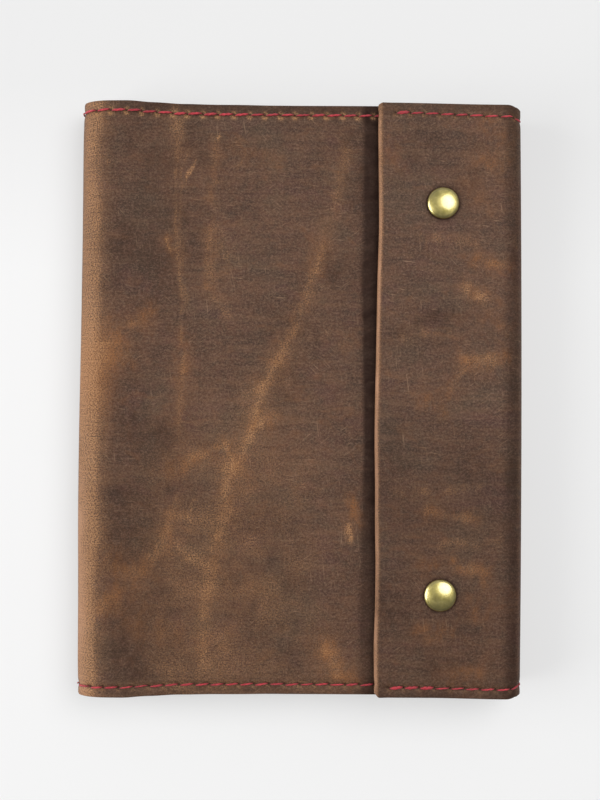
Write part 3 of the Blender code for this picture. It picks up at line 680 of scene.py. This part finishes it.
    # darker tone, which next to the flap's edge, on its fore edge, round the caps and in the stitch holes is painted
    # shade
    base = g.mix(g.math("MULTIPLY", dark_and_shade, 0.97), base, (0.0150, 0.0058, 0.0032))
    edge = g.attr("cut")
    base = g.mix(g.math("MULTIPLY", edge, 0.75), base, (0.040, 0.020, 0.012))
    # the flesh side: short nap, lighter and duller
    nap = g.noise(hp, 0.9, 5, 0.7, 0.6)
    nap2 = g.noise(hp, 4.0, 2, 0.6)
    suede = g.mix(g.span(nap, 0.3, 0.7), (0.105, 0.062, 0.040), (0.185, 0.115, 0.075))
    suede = g.mix(g.math("MULTIPLY", g.span(nap2, 0.4, 0.75), 0.35), suede, (0.25, 0.165, 0.11))
    side = g.attr("flesh")
    base = g.mix(1.0, base, (1.01, 0.955, 0.90), "MULTIPLY")
    colour = g.mix(side, base, suede)
    rough = g.span(g.math("ADD", g.math("MULTIPLY", cloud, 0.5), g.math("MULTIPLY", fine, 0.5)), 0.32, 0.68, 0.50, 0.66)
    rough = g.math("SUBTRACT", rough, g.math("MULTIPLY", wear_and_highlight, 0.05))
    rough = g.math("ADD", rough, g.math("MULTIPLY", dark_and_shade, 0.22))
    rough = g.math("ADD", rough, g.math("MULTIPLY", side, 0.28), clamp=True)
    h = g.math("ADD", g.math("MULTIPLY", fine, 0.6), g.math("MULTIPLY", across, 0.5))
    h = g.math("ADD", h, g.math("ADD", g.math("MULTIPLY", grit, 0.25), g.math("MULTIPLY", micro, 0.6)))
    h = g.math("SUBTRACT", h, g.math("MULTIPLY", pits, 0.25))
    h = g.math("ADD", g.math("MULTIPLY", h, g.math("SUBTRACT", 1.0, side)), g.math("MULTIPLY", nap2, side))
    n1 = g.bump(h, 0.60, 0.00020)
    n2 = g.bump(cloud, 0.5, 0.0006, n1)
    return g.done(colour, rough, n2, Specular_IOR_Level=0.17 if not inside else 0.15)


def brass(name, shade=1.0):
    g = Nodes(name)
    c = g.new("ShaderNodeTexCoord").outputs["Object"]
    cloud = g.noise(c, 420, 4, 0.6, 0.5)
    speck = g.noise(c, 2600, 3, 0.7)
    tone = g.span(cloud, 0.35, 0.68)
    base = g.mix(tone, (0.40 * shade, 0.326 * shade, 0.054 * shade), (0.59 * shade, 0.490 * shade, 0.140 * shade))
    base = g.mix(g.math("MULTIPLY", g.span(speck, 0.60, 0.76), 0.4), base, (0.24, 0.18, 0.055))
    ring = g.attr("radius")
    crease = g.math("SUBTRACT", 1.0, g.span(g.math("ABSOLUTE", g.math("SUBTRACT", ring, 5.10)), 0.02, 0.36))
    base = g.mix(g.math("MULTIPLY", crease, 0.35), base, (0.15, 0.115, 0.030))
    rough = g.span(g.math("ADD", g.math("MULTIPLY", cloud, 0.5), g.math("MULTIPLY", speck, 0.5)), 0.35, 0.68, 0.29, 0.43)
    n = g.bump(g.math("ADD", speck, g.math("MULTIPLY", cloud, 0.7)), 0.30, 0.00006)
    return g.done(base, rough, n, Metallic=1.0, Coat_Weight=1.0, Coat_Roughness=0.20, Coat_IOR=2.05)


def thread_material():
    g = Nodes("thread_red_waxed")
    c = g.new("ShaderNodeTexCoord").outputs["Object"]
    strand = g.noise(g.vmul(c, (900, 2600, 2600)), 1.0, 3, 0.6)
    tone = g.noise(c, 160, 2, 0.5)
    base = g.mix(g.span(strand, 0.35, 0.68), (0.30, 0.013, 0.023), (0.64, 0.058, 0.074))
    base = g.mix(g.math("MULTIPLY", g.span(tone, 0.45, 0.7), 0.35), base, (0.36, 0.020, 0.030))
    # low values mix towards near black: painted shade at the stitch ends and in the twist grooves, plus per-stitch tone
    base = g.mix(g.span(g.attr("light"), 0.15, 0.95), (0.060, 0.004, 0.006), base)
    n = g.bump(strand, 0.6, 0.00008)
    return g.done(base, g.span(strand, 0.3, 0.7, 0.46, 0.66), n, Specular_IOR_Level=0.4, Sheen_Weight=0.15, Sheen_Roughness=0.4)


def paper_material():
    g = Nodes("paper_pages")
    c = g.new("ShaderNodeTexCoord").outputs["Object"]
    leaves = g.noise(g.vmul(c, (40, 40, 6500)), 1.0, 2, 0.6)
    broad = g.noise(c, 60, 3, 0.5)
    fibre = g.noise(c, 3000, 3, 0.6)
    face = g.attr("page_face")
    base = g.mix(g.span(leaves, 0.32, 0.68), (0.56, 0.51, 0.41), (0.80, 0.76, 0.66))
    base = g.mix(face, base, g.mix(g.span(fibre, 0.35, 0.65), (0.735, 0.690, 0.590), (0.765, 0.722, 0.625)))
    base = g.mix(g.math("MULTIPLY", g.span(broad, 0.45, 0.7), 0.10), base, (0.70, 0.64, 0.52))
    leaves = g.math("MULTIPLY", leaves, g.math("SUBTRACT", 1.0, face))
    n = g.bump(g.math("ADD", leaves, g.math("MULTIPLY", fibre, 0.2)), 0.7, 0.00012)
    return g.done(base, g.span(fibre, 0.3, 0.7, 0.78, 0.92), n, Specular_IOR_Level=0.25)


def board_material():
    g = Nodes("notebook_board_cloth")
    c = g.new("ShaderNodeTexCoord").outputs["Object"]
    warp = g.new("ShaderNodeTexWave", wave_type="BANDS", bands_direction="X")
    weft = g.new("ShaderNodeTexWave", wave_type="BANDS", bands_direction="Y")
    for w in (warp, weft):
        g.plug(c, w.inputs["Vector"])
        w.inputs["Scale"].default_value = 330
        w.inputs["Distortion"].default_value = 1.2
        w.inputs["Detail"].default_value = 2
    weave = g.math("MULTIPLY", warp.outputs["Fac"], weft.outputs["Fac"])
    slub = g.noise(c, 90, 4, 0.6)
    base = g.mix(weave, (0.018, 0.018, 0.019), (0.055, 0.053, 0.050))
    base = g.mix(g.math("MULTIPLY", g.span(slub, 0.4, 0.7), 0.3), base, (0.075, 0.070, 0.064))
    n = g.bump(weave, 0.5, 0.00012)
    return g.done(base, g.span(slub, 0.3, 0.7, 0.62, 0.8), n, Specular_IOR_Level=0.35)


LEATHER = leather("leather_outside_oiled")
LEATHER_IN = leather("leather_inside_oiled", inside=True)
BRASS = brass("snap_brass_aged")
THREAD = thread_material()
PAPER = paper_material()
BOARD = board_material()

# ------------------------------------------------------------------ the hide
PITCH = 5.82


def holes_for(route, start, end, pitch, seed):
    return {1: seam_holes(start, end, pitch, seed), -1: seam_holes(start, end, pitch * 0.985, seed + 1)}


# s where the outer seams run
sA1 = A.s_of(FRONT_EDGE - 4.6, Z_FRONT)
HOLES = {
    "A": {k: np.r_[np.array([0.6, 4.6]), seam_holes(A.s_of(-77.7 + 0.1 * k, 19.0), sA1, PITCH * (1.0 if k > 0 else 0.985), 11 + k)] for k in (1, -1)},
    "B": holes_for(B, 2.9, B.length - 0.6, PITCH, 21),
    "C": holes_for(C, 0.6, C.length - 2.9, PITCH, 31),
    "D": {k: np.r_[seam_holes(D.s_of(35.4 - 1.2 * (k < 0), Z_FLAP), D.s_of(80.3 - 1.2 * (k < 0), 24.0), 5.62, 41 + k)] for k in (1, -1)},
}
for k in (1, -1):
    tail = D.length - 0.6
    HOLES["D"][k] = np.r_[HOLES["D"][k], seam_holes(HOLES["D"][k][-1], tail, 5.4, 44 + k)[1:]]
PUCKERS = HOLES
# the same seams where they come out inside: on the sleeves, on the flap's lining and on the bare flesh side
INSIDE = {
    "A": {k: seam_holes(A.s_of(FRONT_EDGE - 5.0, SLEEVE_Z), A.s_of(SLEEVE_END + 2.2, SLEEVE_Z), PITCH, 51 + k) for k in (1, -1)},
    "D": {k: seam_holes(D.s_of(74.0, LINING_Z), D.s_of(35.6, LINING_Z), 5.62, 61 + k) for k in (1, -1)},
    "E": {k: seam_holes(E.s_of(SLEEVE_END + 2.2, BACK_SLEEVE_TOP), E.s_of(73.0, BACK_SLEEVE_TOP), PITCH, 71 + k) for k in (1, -1)},
}


def wave(x, y, seed, amp):
    return amp * (0.6 * fbm(x / 48, y / 60, seed, 2) + 0.4 * fbm(x / 17, y / 23, seed + 3, 2))


def drop_front(x, z, v, s):
    top = (z > 15.5)
    d = wave(x, v, 3, 0.28) * top * smooth(-83, -70, x)
    d = d - 0.42 * smooth(105.6, 108.6, np.abs(v)) * smooth(-82, -70, x) * top
    # the spine fold is full in the middle and pinched in at the head and the tail
    fold = np.exp(-0.5 * ((s - 9) / 6.0) ** 2)
    d = d - fold * 0.5 * smooth(96, 111, np.abs(v)) + fold * wave(x, v, 8, 0.35)
    return d * smooth(0, 2.0, s)


def drop_back(x, z, v, s):
    return -np.abs(wave(x, v, 13, 0.25)) * (z < 1.0) - 0.3 * smooth(105.6, 108.6, np.abs(v)) * (z < 1.0)


def drop_flap(x, z, v, s):
    top = z > 23.2
    d = wave(x, v, 23, 0.22) * top * smooth(29.5, 36, x)
    d = d - 0.30 * smooth(106.0, 108.8, np.abs(v)) * top * smooth(30, 34, x)
    # the cap presses the leather in
    for _, xc, yc in SNAPS:
        r = np.hypot(x - xc, v - yc)
        d = d - 0.34 * np.exp(-0.5 * (r / 6.6) ** 2) * top
    return d


def drop_none(x, z, v, s):
    return 0.0 * x * v


def hole_marks(w, r, d, x, z, y, s, holes, on, head, tail):
    """Each stitch hole has a slanted slit of painted shade standing in for the open hole, and the hide is pulled light
    round it.
    """
    for side, strength in ((1, head), (-1, tail)):
        at = (seam_at(x, z, side) * half_height(x, z, side * HALF_H) / HALF_H)
        for n, h in enumerate(holes[side]):
            i = np.abs(s[:, 0] - h) < 3.2
            if not i.any():
                continue
            ds, dy = s[i] - h, y[i] - at[i]
            k = strength * (0.75 + 0.5 * value_noise(np.array(n * 1.7), np.array(side * 3.1), 77))
            halo = np.clip(k * np.exp(-(np.abs(ds) / 0.95) ** 2.4 - (np.abs(dy + 0.30) / 1.30) ** 2.4), 0, 1) * on[i]
            w[i] = 1 - (1 - w[i]) * (1 - halo)
            a, b = 0.88 * ds - 0.48 * dy, 0.48 * ds + 0.88 * dy
            # the slit: painted shade for the open hole
            slit = np.exp(-(a / 1.15) ** 2 - (b / 0.50) ** 2)
            w[i] = w[i] * (1 - 0.9 * slit)
            d[i] = 1 - (1 - d[i] * (1 - 0.9 * halo)) * (1 - 0.97 * slit * on[i])
    return w, r, d


def marks_front(x, z, y, s):
    m = paint(FRONT_MARKS, x, y)
    top = smooth(14.5, 18, z)
    on = top * (x < 77.5)
    w, r, d = m["w"] * on, m["r"] * on, m["d"] * on
    # the spine fold is rubbed light, more so towards the tail; the light strip also stands in for the key light on the
    # rounded fold, so it is partly painted highlight
    reach = -75.3 + 0.5 * smooth(-36, -46, y) - 1.1 * smooth(-50, -62, y) - 1.5 * smooth(-62, -76, y) + 0.9 * smooth(-80, -90, y) + 0.9 * fbm(y / 16, y / 40, 51, 3) + 0.4 * fbm(x / 2, y / 3, 57, 2)
    fold_rub_and_highlight = (0.66 * smooth(reach + 2.0, reach - 2.2, x) + 0.34 * smooth(reach + 7, reach - 1, x)) * smooth(11, 17, z)
    much = np.interp(y, (-108, -50, -24, 12, 40, 108), (1.06, 1.12, .84, 1.02, .66, .54))
    fold_rub_and_highlight = fold_rub_and_highlight * (much + 0.30 * fbm(x / 4, y / 11, 52, 3))
    w = 1 - (1 - w) * (1 - 0.30 * smooth(20, -50, y) * smooth(25, -20, x) * smooth(-80, -34, x) * (0.6 + 0.8 * fbm(x / 9, y / 9, 58, 3)) * top)
    d = 1 - (1 - d) * (1 - 0.13 * smooth(10, -50, y) * smooth(30, -20, x) * smooth(-77, -69, x) * top)
    w = 1 - (1 - w) * (1 - np.clip(fold_rub_and_highlight, 0, 1) * 0.94)
    hot = np.exp(-((y - 8) / 17.0) ** 2) * smooth(-64, -80, x)
    r = 1 - (1 - r) * (1 - 0.85 * hot)
    # darker strip next to the flap's edge: partly the hide pressed there and never rubbed, partly painted shade
    # standing in for the flap's contact shadow, deepest right at the edge
    edge_x = 28.8 + np.interp(y, lean_at, lean_by)
    wide = np.interp(y, (-108, -70, -16, 50, 108), (4.8, 5.7, 3.7, 5.9, 5.4)) + 0.5 * fbm(y / 15, 0.4, 53, 3)
    much = np.interp(y, (-108, -70, -15, 100), (0.45, 0.53, 0.98, 0.96))
    away = (edge_x - x) / wide
    flap_edge_shade_and_stain = much * smooth(1.25, 0.75, away) * (0.84 + 0.18 * smooth(1, 0, away) + 0.08 * fbm(y / 9, x / 3, 56, 3))
    flap_edge_shade_and_stain = flap_edge_shade_and_stain + 0.22 * np.exp(-np.clip(away * 0.55, 0, 9) ** 2)
    # under the flap the hide has kept its oil: dark by the edge, easing off towards the fore edge
    flap_edge_shade_and_stain = flap_edge_shade_and_stain * (1 - smooth(0.5, 20, x - edge_x) * (0.66 + 0.30 * fbm(x / 13, y / 13, 59, 3)))
    d = 1 - (1 - d) * (1 - np.clip(flap_edge_shade_and_stain, 0, 0.97) * on)
    # head and tail margins
    margin = smooth(105.5, 109.0, np.abs(y)) * (0.42 - 0.26 * (y < 0) + 0.3 * fbm(x / 9, y / 3, 54, 3)) * smooth(-74, -62, x)
    d = 1 - (1 - d) * (1 - np.clip(margin, 0, 1) * on)
    w, r, d = hole_marks(w, r, d, x, z, y, s, HOLES["A"], top, 1.9, 0.40)
    # the spine's rounded side is lightened: partly real rubbing, partly painted highlight where it faces the key light
    pale_rub_and_highlight = 0.56 * smooth(-77.8, -82.0, x) * smooth(11, 17, z) * (0.22 + 0.78 * smooth(-20, -48, y)) * (0.85 + 0.5 * fbm(y / 8, x / 4, 60, 3))
    return w, r, d, pale_rub_and_highlight


def marks_flap(x, z, y, s):
    m = paint(FLAP_MARKS, x, y)
    top = smooth(22.9, 24.0, z)
    w, r, d = m["w"] * top, m["r"] * top, m["d"] * top
    d = 1 - (1 - d) * (1 - 0.27 * np.exp(-((y + 42) / 24) ** 2) * top) * (1 - 0.17 * smooth(-50, -80, y) * top)
    # the flap's rolled lip is lightened: partly pull-up leather lightening at the fold, partly painted highlight where
    # it faces the key light
    lip_rub_and_highlight = smooth(31.0, 29.0, x) * smooth(20.6, 23.0, z) * (0.80 + 0.25 * fbm(y / 12, x, 61, 3))
    w = 1 - (1 - w) * (1 - np.clip(lip_rub_and_highlight, 0, 1) * 0.85)
    # painted shade: the flap's rounded fore edge, which faces away from the key light, is darkened
    corner = smooth(74.6, 79.0, x) * (1 - 0.70 * smooth(80.2, 82.8, x)) * (0.56 + 0.25 * fbm(y / 15, x / 5, 62, 3)) * smooth(12, 20, z)
    d = 1 - (1 - d) * (1 - np.clip(corner, 0, 1))
    margin = smooth(104.0, 109.5, np.abs(y)) * (0.28 + 0.3 * fbm(x / 9, y / 3, 63, 3)) * top
    d = 1 - (1 - d) * (1 - np.clip(margin, 0, 1))
    # painted shadow: a darker ring on the leather round each cap, standing in for the cap's contact shadow
    for _, xc, yc in SNAPS:
        rr = np.hypot(x - xc, y - yc)
        d = np.maximum(d, (0.30 * smooth(8.6, 6.2, rr) + 0.55 * smooth(6.9, 6.2, rr)) * top)
    w, r, d = hole_marks(w, r, d, x, z, y, s, HOLES["D"], top, 0.45, 0.30)
    # the lip's outer edge is lightened further: painted highlight where it faces the key light, partly pull-up
    # lightening
    pale_rub_and_highlight = smooth(FLAP_EDGE + 1.5, FLAP_EDGE + 0.6, x) * smooth(20.8, 22.6, z) * (0.66 - 0.22 * smooth(55, 100, y) + 0.45 * fbm(y / 6, x, 64, 4))
    return w, r, d, pale_rub_and_highlight


def marks_back(seed, x0, x1):
    table = random_marks(seed, x0, x1, 22)

    def f(x, z, y, s):
        m = paint(table, x, y)
        low = z < 4
        fold = smooth(-74, -82, x) * smooth(9.9, 3, z) + smooth(76, 82, x) * smooth(9.9, 3, z)
        w = 1 - (1 - m["w"] * low) * (1 - np.clip(fold * (0.45 + 0.3 * fbm(x / 5, y / 11, seed, 3)), 0, 1))
        return w, m["r"] * low, m["d"] * low, 0 * w
    return f


def thick_plain(x, z):
    return np.full(np.shape(x), HIDE)


def thick_flap(x, z):
    return HIDE - 0.28 * smooth(33, 29.5, x) * (z > 20.5)


def gap_front(x, z):
    g = np.where(z > 18.0, 0.56, 0.42)
    return np.where((z < 15.0) & (x < 74), 2.4, g)


def gap_flap(x, z):
    g = np.where(z > 23.3, 0.60, 2.2)
    g = np.where(x < 33, 0.30, g)
    return np.where(x > 76, 0.5, g)


def gap_back(x, z):
    return np.where(np.abs(x) < 73, 1.25, 0.55)


hide_front = skin("hide_front_cover", "A", A, gap_front, 1.15, thick_plain, drop_front, marks_front, PUCKERS["A"])
hide_spine = skin("hide_back_and_spine", "B", B, gap_back, 1.5, thick_plain, drop_back, marks_back(71, -75, 0), PUCKERS["B"], floor=True)
hide_fore = skin("hide_back_and_fore_edge", "C", C, gap_back, 1.5, thick_plain, drop_back, marks_back(72, 0, 75), PUCKERS["C"], floor=True)
hide_flap = skin("hide_flap", "D", D, gap_flap, 1.15, thick_flap, drop_flap, marks_flap, PUCKERS["D"])
hide_sleeve = skin("hide_back_sleeve", "E", E, lambda x, z: np.where(x < 74, 2.4, 0.5), 2.0, thick_plain, drop_none, None, None)


def bend(ob, a, b, fold, direction, reach):
    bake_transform(ob)


TOP_LEFT = ("spine", "front", "fold_front", (1, 1), 5.0)
LOW_LEFT = ("back", "spine", "fold_spine", (-1, 1), 5.0)
LOW_RIGHT = ("back", "fore_edge", "fold_fore_edge", (1, 1), 4.0)
TOP_RIGHT = ("fore_edge", "flap", "fold_flap", (-1, 1), 4.0)
for ob, how, nodes in ((hide_front, TOP_LEFT, ("front_cover_leather", "front_sleeve_leather")),
                       (hide_spine, LOW_LEFT, ("spine_leather", "back_cover_leather")),
                       (hide_fore, LOW_RIGHT, ("fore_edge_leather",)),
                       (hide_flap, TOP_RIGHT, ("flap_leather", "flap_lining", "fore_edge_lining")),
                       (hide_sleeve, LOW_RIGHT, ("back_sleeve_leather",))):
    ob.data.materials.append(LEATHER_IN if ob is hide_sleeve else LEATHER)
    bend(ob, *how)
    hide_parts(*nodes)

# ------------------------------------------------------------------ seams
for key, route, how, nodes in (("A", A, TOP_LEFT, ("stitching_front", "stitching_spine")), ("B", B, LOW_LEFT, ("stitching_back",)),
                               ("C", C, LOW_RIGHT, ()), ("D", D, TOP_RIGHT, ("stitching_fore_edge", "stitching_flap"))):
    for side, end in ((1, "head"), (-1, "tail")):
        under = key in "BC"
        ob = stitch_run("seam_%s_%s" % ({"A": "front", "B": "back_spine", "C": "back_fore_edge", "D": "flap"}[key], end),
                        route, HOLES[key][side], side, 100 + ord(key) + side, lift=-0.32 if under else 0.0,
                        gauge={"A": 1.0 if side > 0 else 0.84, "D": 0.80}.get(key, 0.9), double={"D": (0,) if side > 0 else (0, 1, 2)}.get(key, ()))
        if under:
            co = np.array([v.co for v in ob.data.vertices])
            co[:, 2] = np.maximum(co[:, 2], 0.00002)
            ob.data.vertices.foreach_set("co", co.ravel())
        ob.data.materials.append(THREAD)
        bend(ob, *how)
        for n in nodes:
            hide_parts("%s_%s" % (n, end))

for key, route, how, name in (("A", A, TOP_LEFT, "front_sleeve"), ("D", D, TOP_RIGHT, "flap_lining"), ("E", E, LOW_RIGHT, "back_sleeve"),
                              ("a", A, TOP_LEFT, "front_flesh"), ("b", B, LOW_LEFT, "back_flesh")):
    for side, end in ((1, "head"), (-1, "tail")):
        if key == "a":
            run = HOLES["A"][side][1:]
            run, depth = run[run < A.s_of(SLEEVE_END - 2.0, Z_FRONT)], HIDE
        elif key == "b":
            run, depth = HOLES["B"][side], HIDE
            run = run[run > B.s_of(SLEEVE_END - 2.0, 0)] if B.s_of(SLEEVE_END, 0) > 1 else run
        else:
            run, depth = INSIDE[key][side], None
        ob = stitch_run("seam_inside_%s_%s" % (name, end), route, run, side, 160 + ord(key) + side, inner=depth, gauge=0.9)
        ob.data.materials.append(THREAD)
        bend(ob, *how)

# ------------------------------------------------------------------ snaps
F = Z_FLAP
CAP = [(0, F + 2.10), (0.8, F + 2.078), (1.6, F + 2.008), (2.4, F + 1.888), (3.2, F + 1.714), (4.0, F + 1.48), (4.6, F + 1.262), (5.0, F + 1.092),
       (5.20, F + 1.000), (5.28, F + 0.955), (5.42, F + 0.865), (5.58, F + 0.745), (5.72, F + 0.615), (5.84, F + 0.46), (5.92, F + 0.29), (5.95, F + 0.12),
       (5.92, F - 0.02), (5.80, F - 0.08), (5.55, F - 0.04), (5.2, F + 0.12), (4.6, F + 0.36), (2.6, F + 0.44), (1.9, F + 0.30), (1.7, F + 0.0), (1.7, F - 1.8), (0, F - 1.8)]
SOCKET = [(2.6, 22.5), (4.0, 22.5), (4.25, 22.4), (4.32, 22.15), (4.32, 21.75), (4.6, 21.62), (5.0, 21.58), (5.18, 21.4), (5.2, 21.1), (5.05, 20.85),
          (4.7, 20.8), (3.4, 20.8), (2.9, 20.86), (2.65, 21.05), (2.6, 21.5)]
STUD = [(0, 22.2), (0.7, 22.19), (1.3, 22.08), (1.75, 21.86), (2.02, 21.55), (2.1, 21.3), (2.0, 21.05), (1.82, 20.85), (1.76, 20.6), (1.85, 20.46),
        (2.3, 20.42), (4.0, 20.39), (4.4, 20.33), (4.6, 20.2), (4.6, 20.05), (4.45, 19.96), (0, 19.95)]
POST = [(0, 19.6), (1.25, 19.6), (1.4, 19.5), (1.4, 18.95), (1.6, 18.84), (3.7, 18.8), (3.95, 18.72), (4.0, 18.6), (3.95, 18.48), (3.7, 18.42), (0, 18.42)]
for where, x, y in SNAPS:
    for part, prof, on, closed in (("cap", CAP, "flap", False), ("socket", SOCKET, "flap", True), ("stud", STUD, "front", False), ("post", POST, "front", False)):
        ob = lathe("%s_%s_turned" % (where, part), prof, x, y, closed=closed)
        ob.data.materials.append(BRASS)
        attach(ob, on)
        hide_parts("%s_snap_%s" % (where, part))


# ------------------------------------------------------------------ the notebook
def rounded_slab(name, x0, x1, y0, y1, z0, z1, corner, bevel, per=6, layers=0, seed=1):
    """A board or a block with rounded corners and softened edges; layers adds leaf lines round its sides."""
    outline = []
    for cx, cy, a0 in ((x1 - corner, y1 - corner, 0), (x0 + corner, y1 - corner, 90), (x0 + corner, y0 + corner, 180), (x1 - corner, y0 + corner, 270)):
        for q in range(per + 1):
            a = math.radians(a0 + 90 * q / per)
            outline.append((cx + corner * math.cos(a), cy + corner * math.sin(a), math.cos(a), math.sin(a)))
    dense = []
    for (a, b) in zip(outline, outline[1:] + outline[:1]):
        L = math.hypot(b[0] - a[0], b[1] - a[1])
        n = max(1, int(L / 6))
        for q in range(n):
            t = q / n
            dense.append(tuple(a[i] + (b[i] - a[i]) * t for i in range(4)))
    rng2 = np.random.default_rng(seed)
    if layers:
        zs = np.linspace(z0 + bevel, z1 - bevel, layers)
        inset = np.abs(rng2.normal(0, 0.10, layers)) + 0.16 * (np.arange(layers) % 2)
    else:
        zs, inset = np.array([z0 + bevel, z1 - bevel]), np.zeros(2)
    prof = [(bevel, z0), (bevel * 0.3, z0 + bevel * 0.3)] + list(zip(inset, zs)) + [(bevel * 0.3, z1 - bevel * 0.3), (bevel, z1)]
    V, F_ = [], []
    n = len(dense)
    for ins, z in prof:
        for x, y, nx, ny in dense:
            V.append((x - nx * ins, y - ny * ins, z))
    for r in range(len(prof) - 1):
        for q in range(n):
            q2 = (q + 1) % n
            F_.append((r * n + q, r * n + q2, (r + 1) * n + q2, (r + 1) * n + q))
    F_.append(tuple(range(n))[::-1])
    F_.append(tuple((len(prof) - 1) * n + q for q in range(n)))
    ob = make_mesh(name, V, F_, sharp=30)
    put_attr(ob, "page_face", np.array([float(v[2] > z1 - 0.02 or v[2] < z0 + 0.02) for v in V]))
    return ob


def mm(node):
    a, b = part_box(node)
    return [c / MM for c in (a.x, b.x, a.y, b.y, a.z, b.z)]


for node, on, corner, bevel in (("notebook_front_board", "front", 3.0, 0.35), ("notebook_back_board", "back", 3.0, 0.35), ("notebook_spine_board", "spine", 0.5, 0.3)):
    x0, x1, y0, y1, z0, z1 = mm(node)
    ob = rounded_slab(node + "_cloth", x0, x1, y0, y1, z0, z1, corner, bevel)
    ob.data.materials.append(BOARD)
    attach(ob, on)
    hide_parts(node)

x0, x1, y0, y1, z0, z1 = mm("notebook_pages")
block = rounded_slab("page_block", x0, x1, y0, y1, BACK_SLEEVE_TOP + 0.3, z1, 3.5, 0.15, layers=64, seed=3)
block.data.materials.append(PAPER)
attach(block, "back")
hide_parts("notebook_pages")
under = rounded_slab("page_block_foot", x0, SLEEVE_END - 0.5, y0, y1, z0, BACK_SLEEVE_TOP + 0.3, 0.6, 0.12, layers=14, seed=4)
under.data.materials.append(PAPER)
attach(under, "back")

# ------------------------------------------------------------------ floor, light, camera
floor = bpy.data.meshes.new("floor")
floor.from_pydata([(-1.5, -1.5, -0.0003), (1.5, -1.5, -0.0003), (1.5, 1.5, -0.0003), (-1.5, 1.5, -0.0003)], [], [(0, 1, 2, 3)])
floor_ob = bpy.data.objects.new("floor", floor)
bpy.context.scene.collection.objects.link(floor_ob)
fm = Nodes("floor_white")
# painted shade: the floor's colour is darker beyond the head of the cover (y above 50 mm), standing in for the light
# falling off there
floor_shade_xyz = fm.new("ShaderNodeSeparateXYZ")
fm.plug(fm.new("ShaderNodeTexCoord").outputs["Object"], floor_shade_xyz.inputs[0])
floor.materials.append(fm.done(fm.mix(fm.span(floor_shade_xyz.outputs[1], 0.050, 0.125), (0.39, 0.39, 0.39), (0.332, 0.332, 0.332)), 0.75, None, Specular_IOR_Level=0.2, Emission_Color=(1.0, 1.0, 1.0, 1.0), Emission_Strength=0.425))


def area(name, loc, target, size, power, colour=(1, 1, 1)):
    L = bpy.data.lights.new(name, "AREA")
    L.shape = "DISK"
    L.size = size
    L.energy = power
    L.color = colour
    ob = bpy.data.objects.new(name, L)
    ob.location = loc
    ob.rotation_euler = (Vector(target) - Vector(loc)).to_track_quat("-Z", "Y").to_euler()
    bpy.context.scene.collection.objects.link(ob)
    return ob


area("key_left", (-1.10, -0.10, 0.62), (0, 0, 0.02), 1.14, 14.85)
area("overhead_right", (0.46, 0.30, 1.0), (0.02, 0.02, 0.02), 0.93, 9.15)

world = bpy.data.worlds.new("studio")
bpy.context.scene.world = world
world.use_nodes = True
world.node_tree.nodes["Background"].inputs["Color"].default_value = (1.0, 1.0, 1.0, 1)
world.node_tree.nodes["Background"].inputs["Strength"].default_value = 0.36
sky = world.node_tree.nodes.new("ShaderNodeSeparateXYZ")
sky_from = world.node_tree.nodes.new("ShaderNodeTexCoord")
sky_map = world.node_tree.nodes.new("ShaderNodeMapRange")
world.node_tree.links.new(sky_from.outputs["Generated"], sky.inputs[0])
world.node_tree.links.new(sky.outputs[1], sky_map.inputs[0])
for i, q in enumerate((-0.9, 0.5, 0.16, 0.46)):
    sky_map.inputs[i + 1].default_value = q
world.node_tree.links.new(sky_map.outputs[0], world.node_tree.nodes["Background"].inputs["Strength"])

cam = bpy.data.cameras.new("camera")
cam.sensor_fit = "VERTICAL"
cam.sensor_height = 36
cam.sensor_width = 27
cam.lens = 47.43
cam.clip_start = 0.01
cam_ob = bpy.data.objects.new("camera", cam)
cam_ob.location = (0.00055, -0.0103, 0.4163)
look = (Vector((0.00055, -0.0008, 0.020)) - cam_ob.location).to_track_quat("-Z", "Y")
cam_ob.rotation_mode = "QUATERNION"
cam_ob.rotation_quaternion = look @ Quaternion((0, 0, 1), math.radians(0.35))
bpy.context.scene.collection.objects.link(cam_ob)
bpy.context.scene.camera = cam_ob
bpy.context.scene.view_settings.view_transform = "Standard"
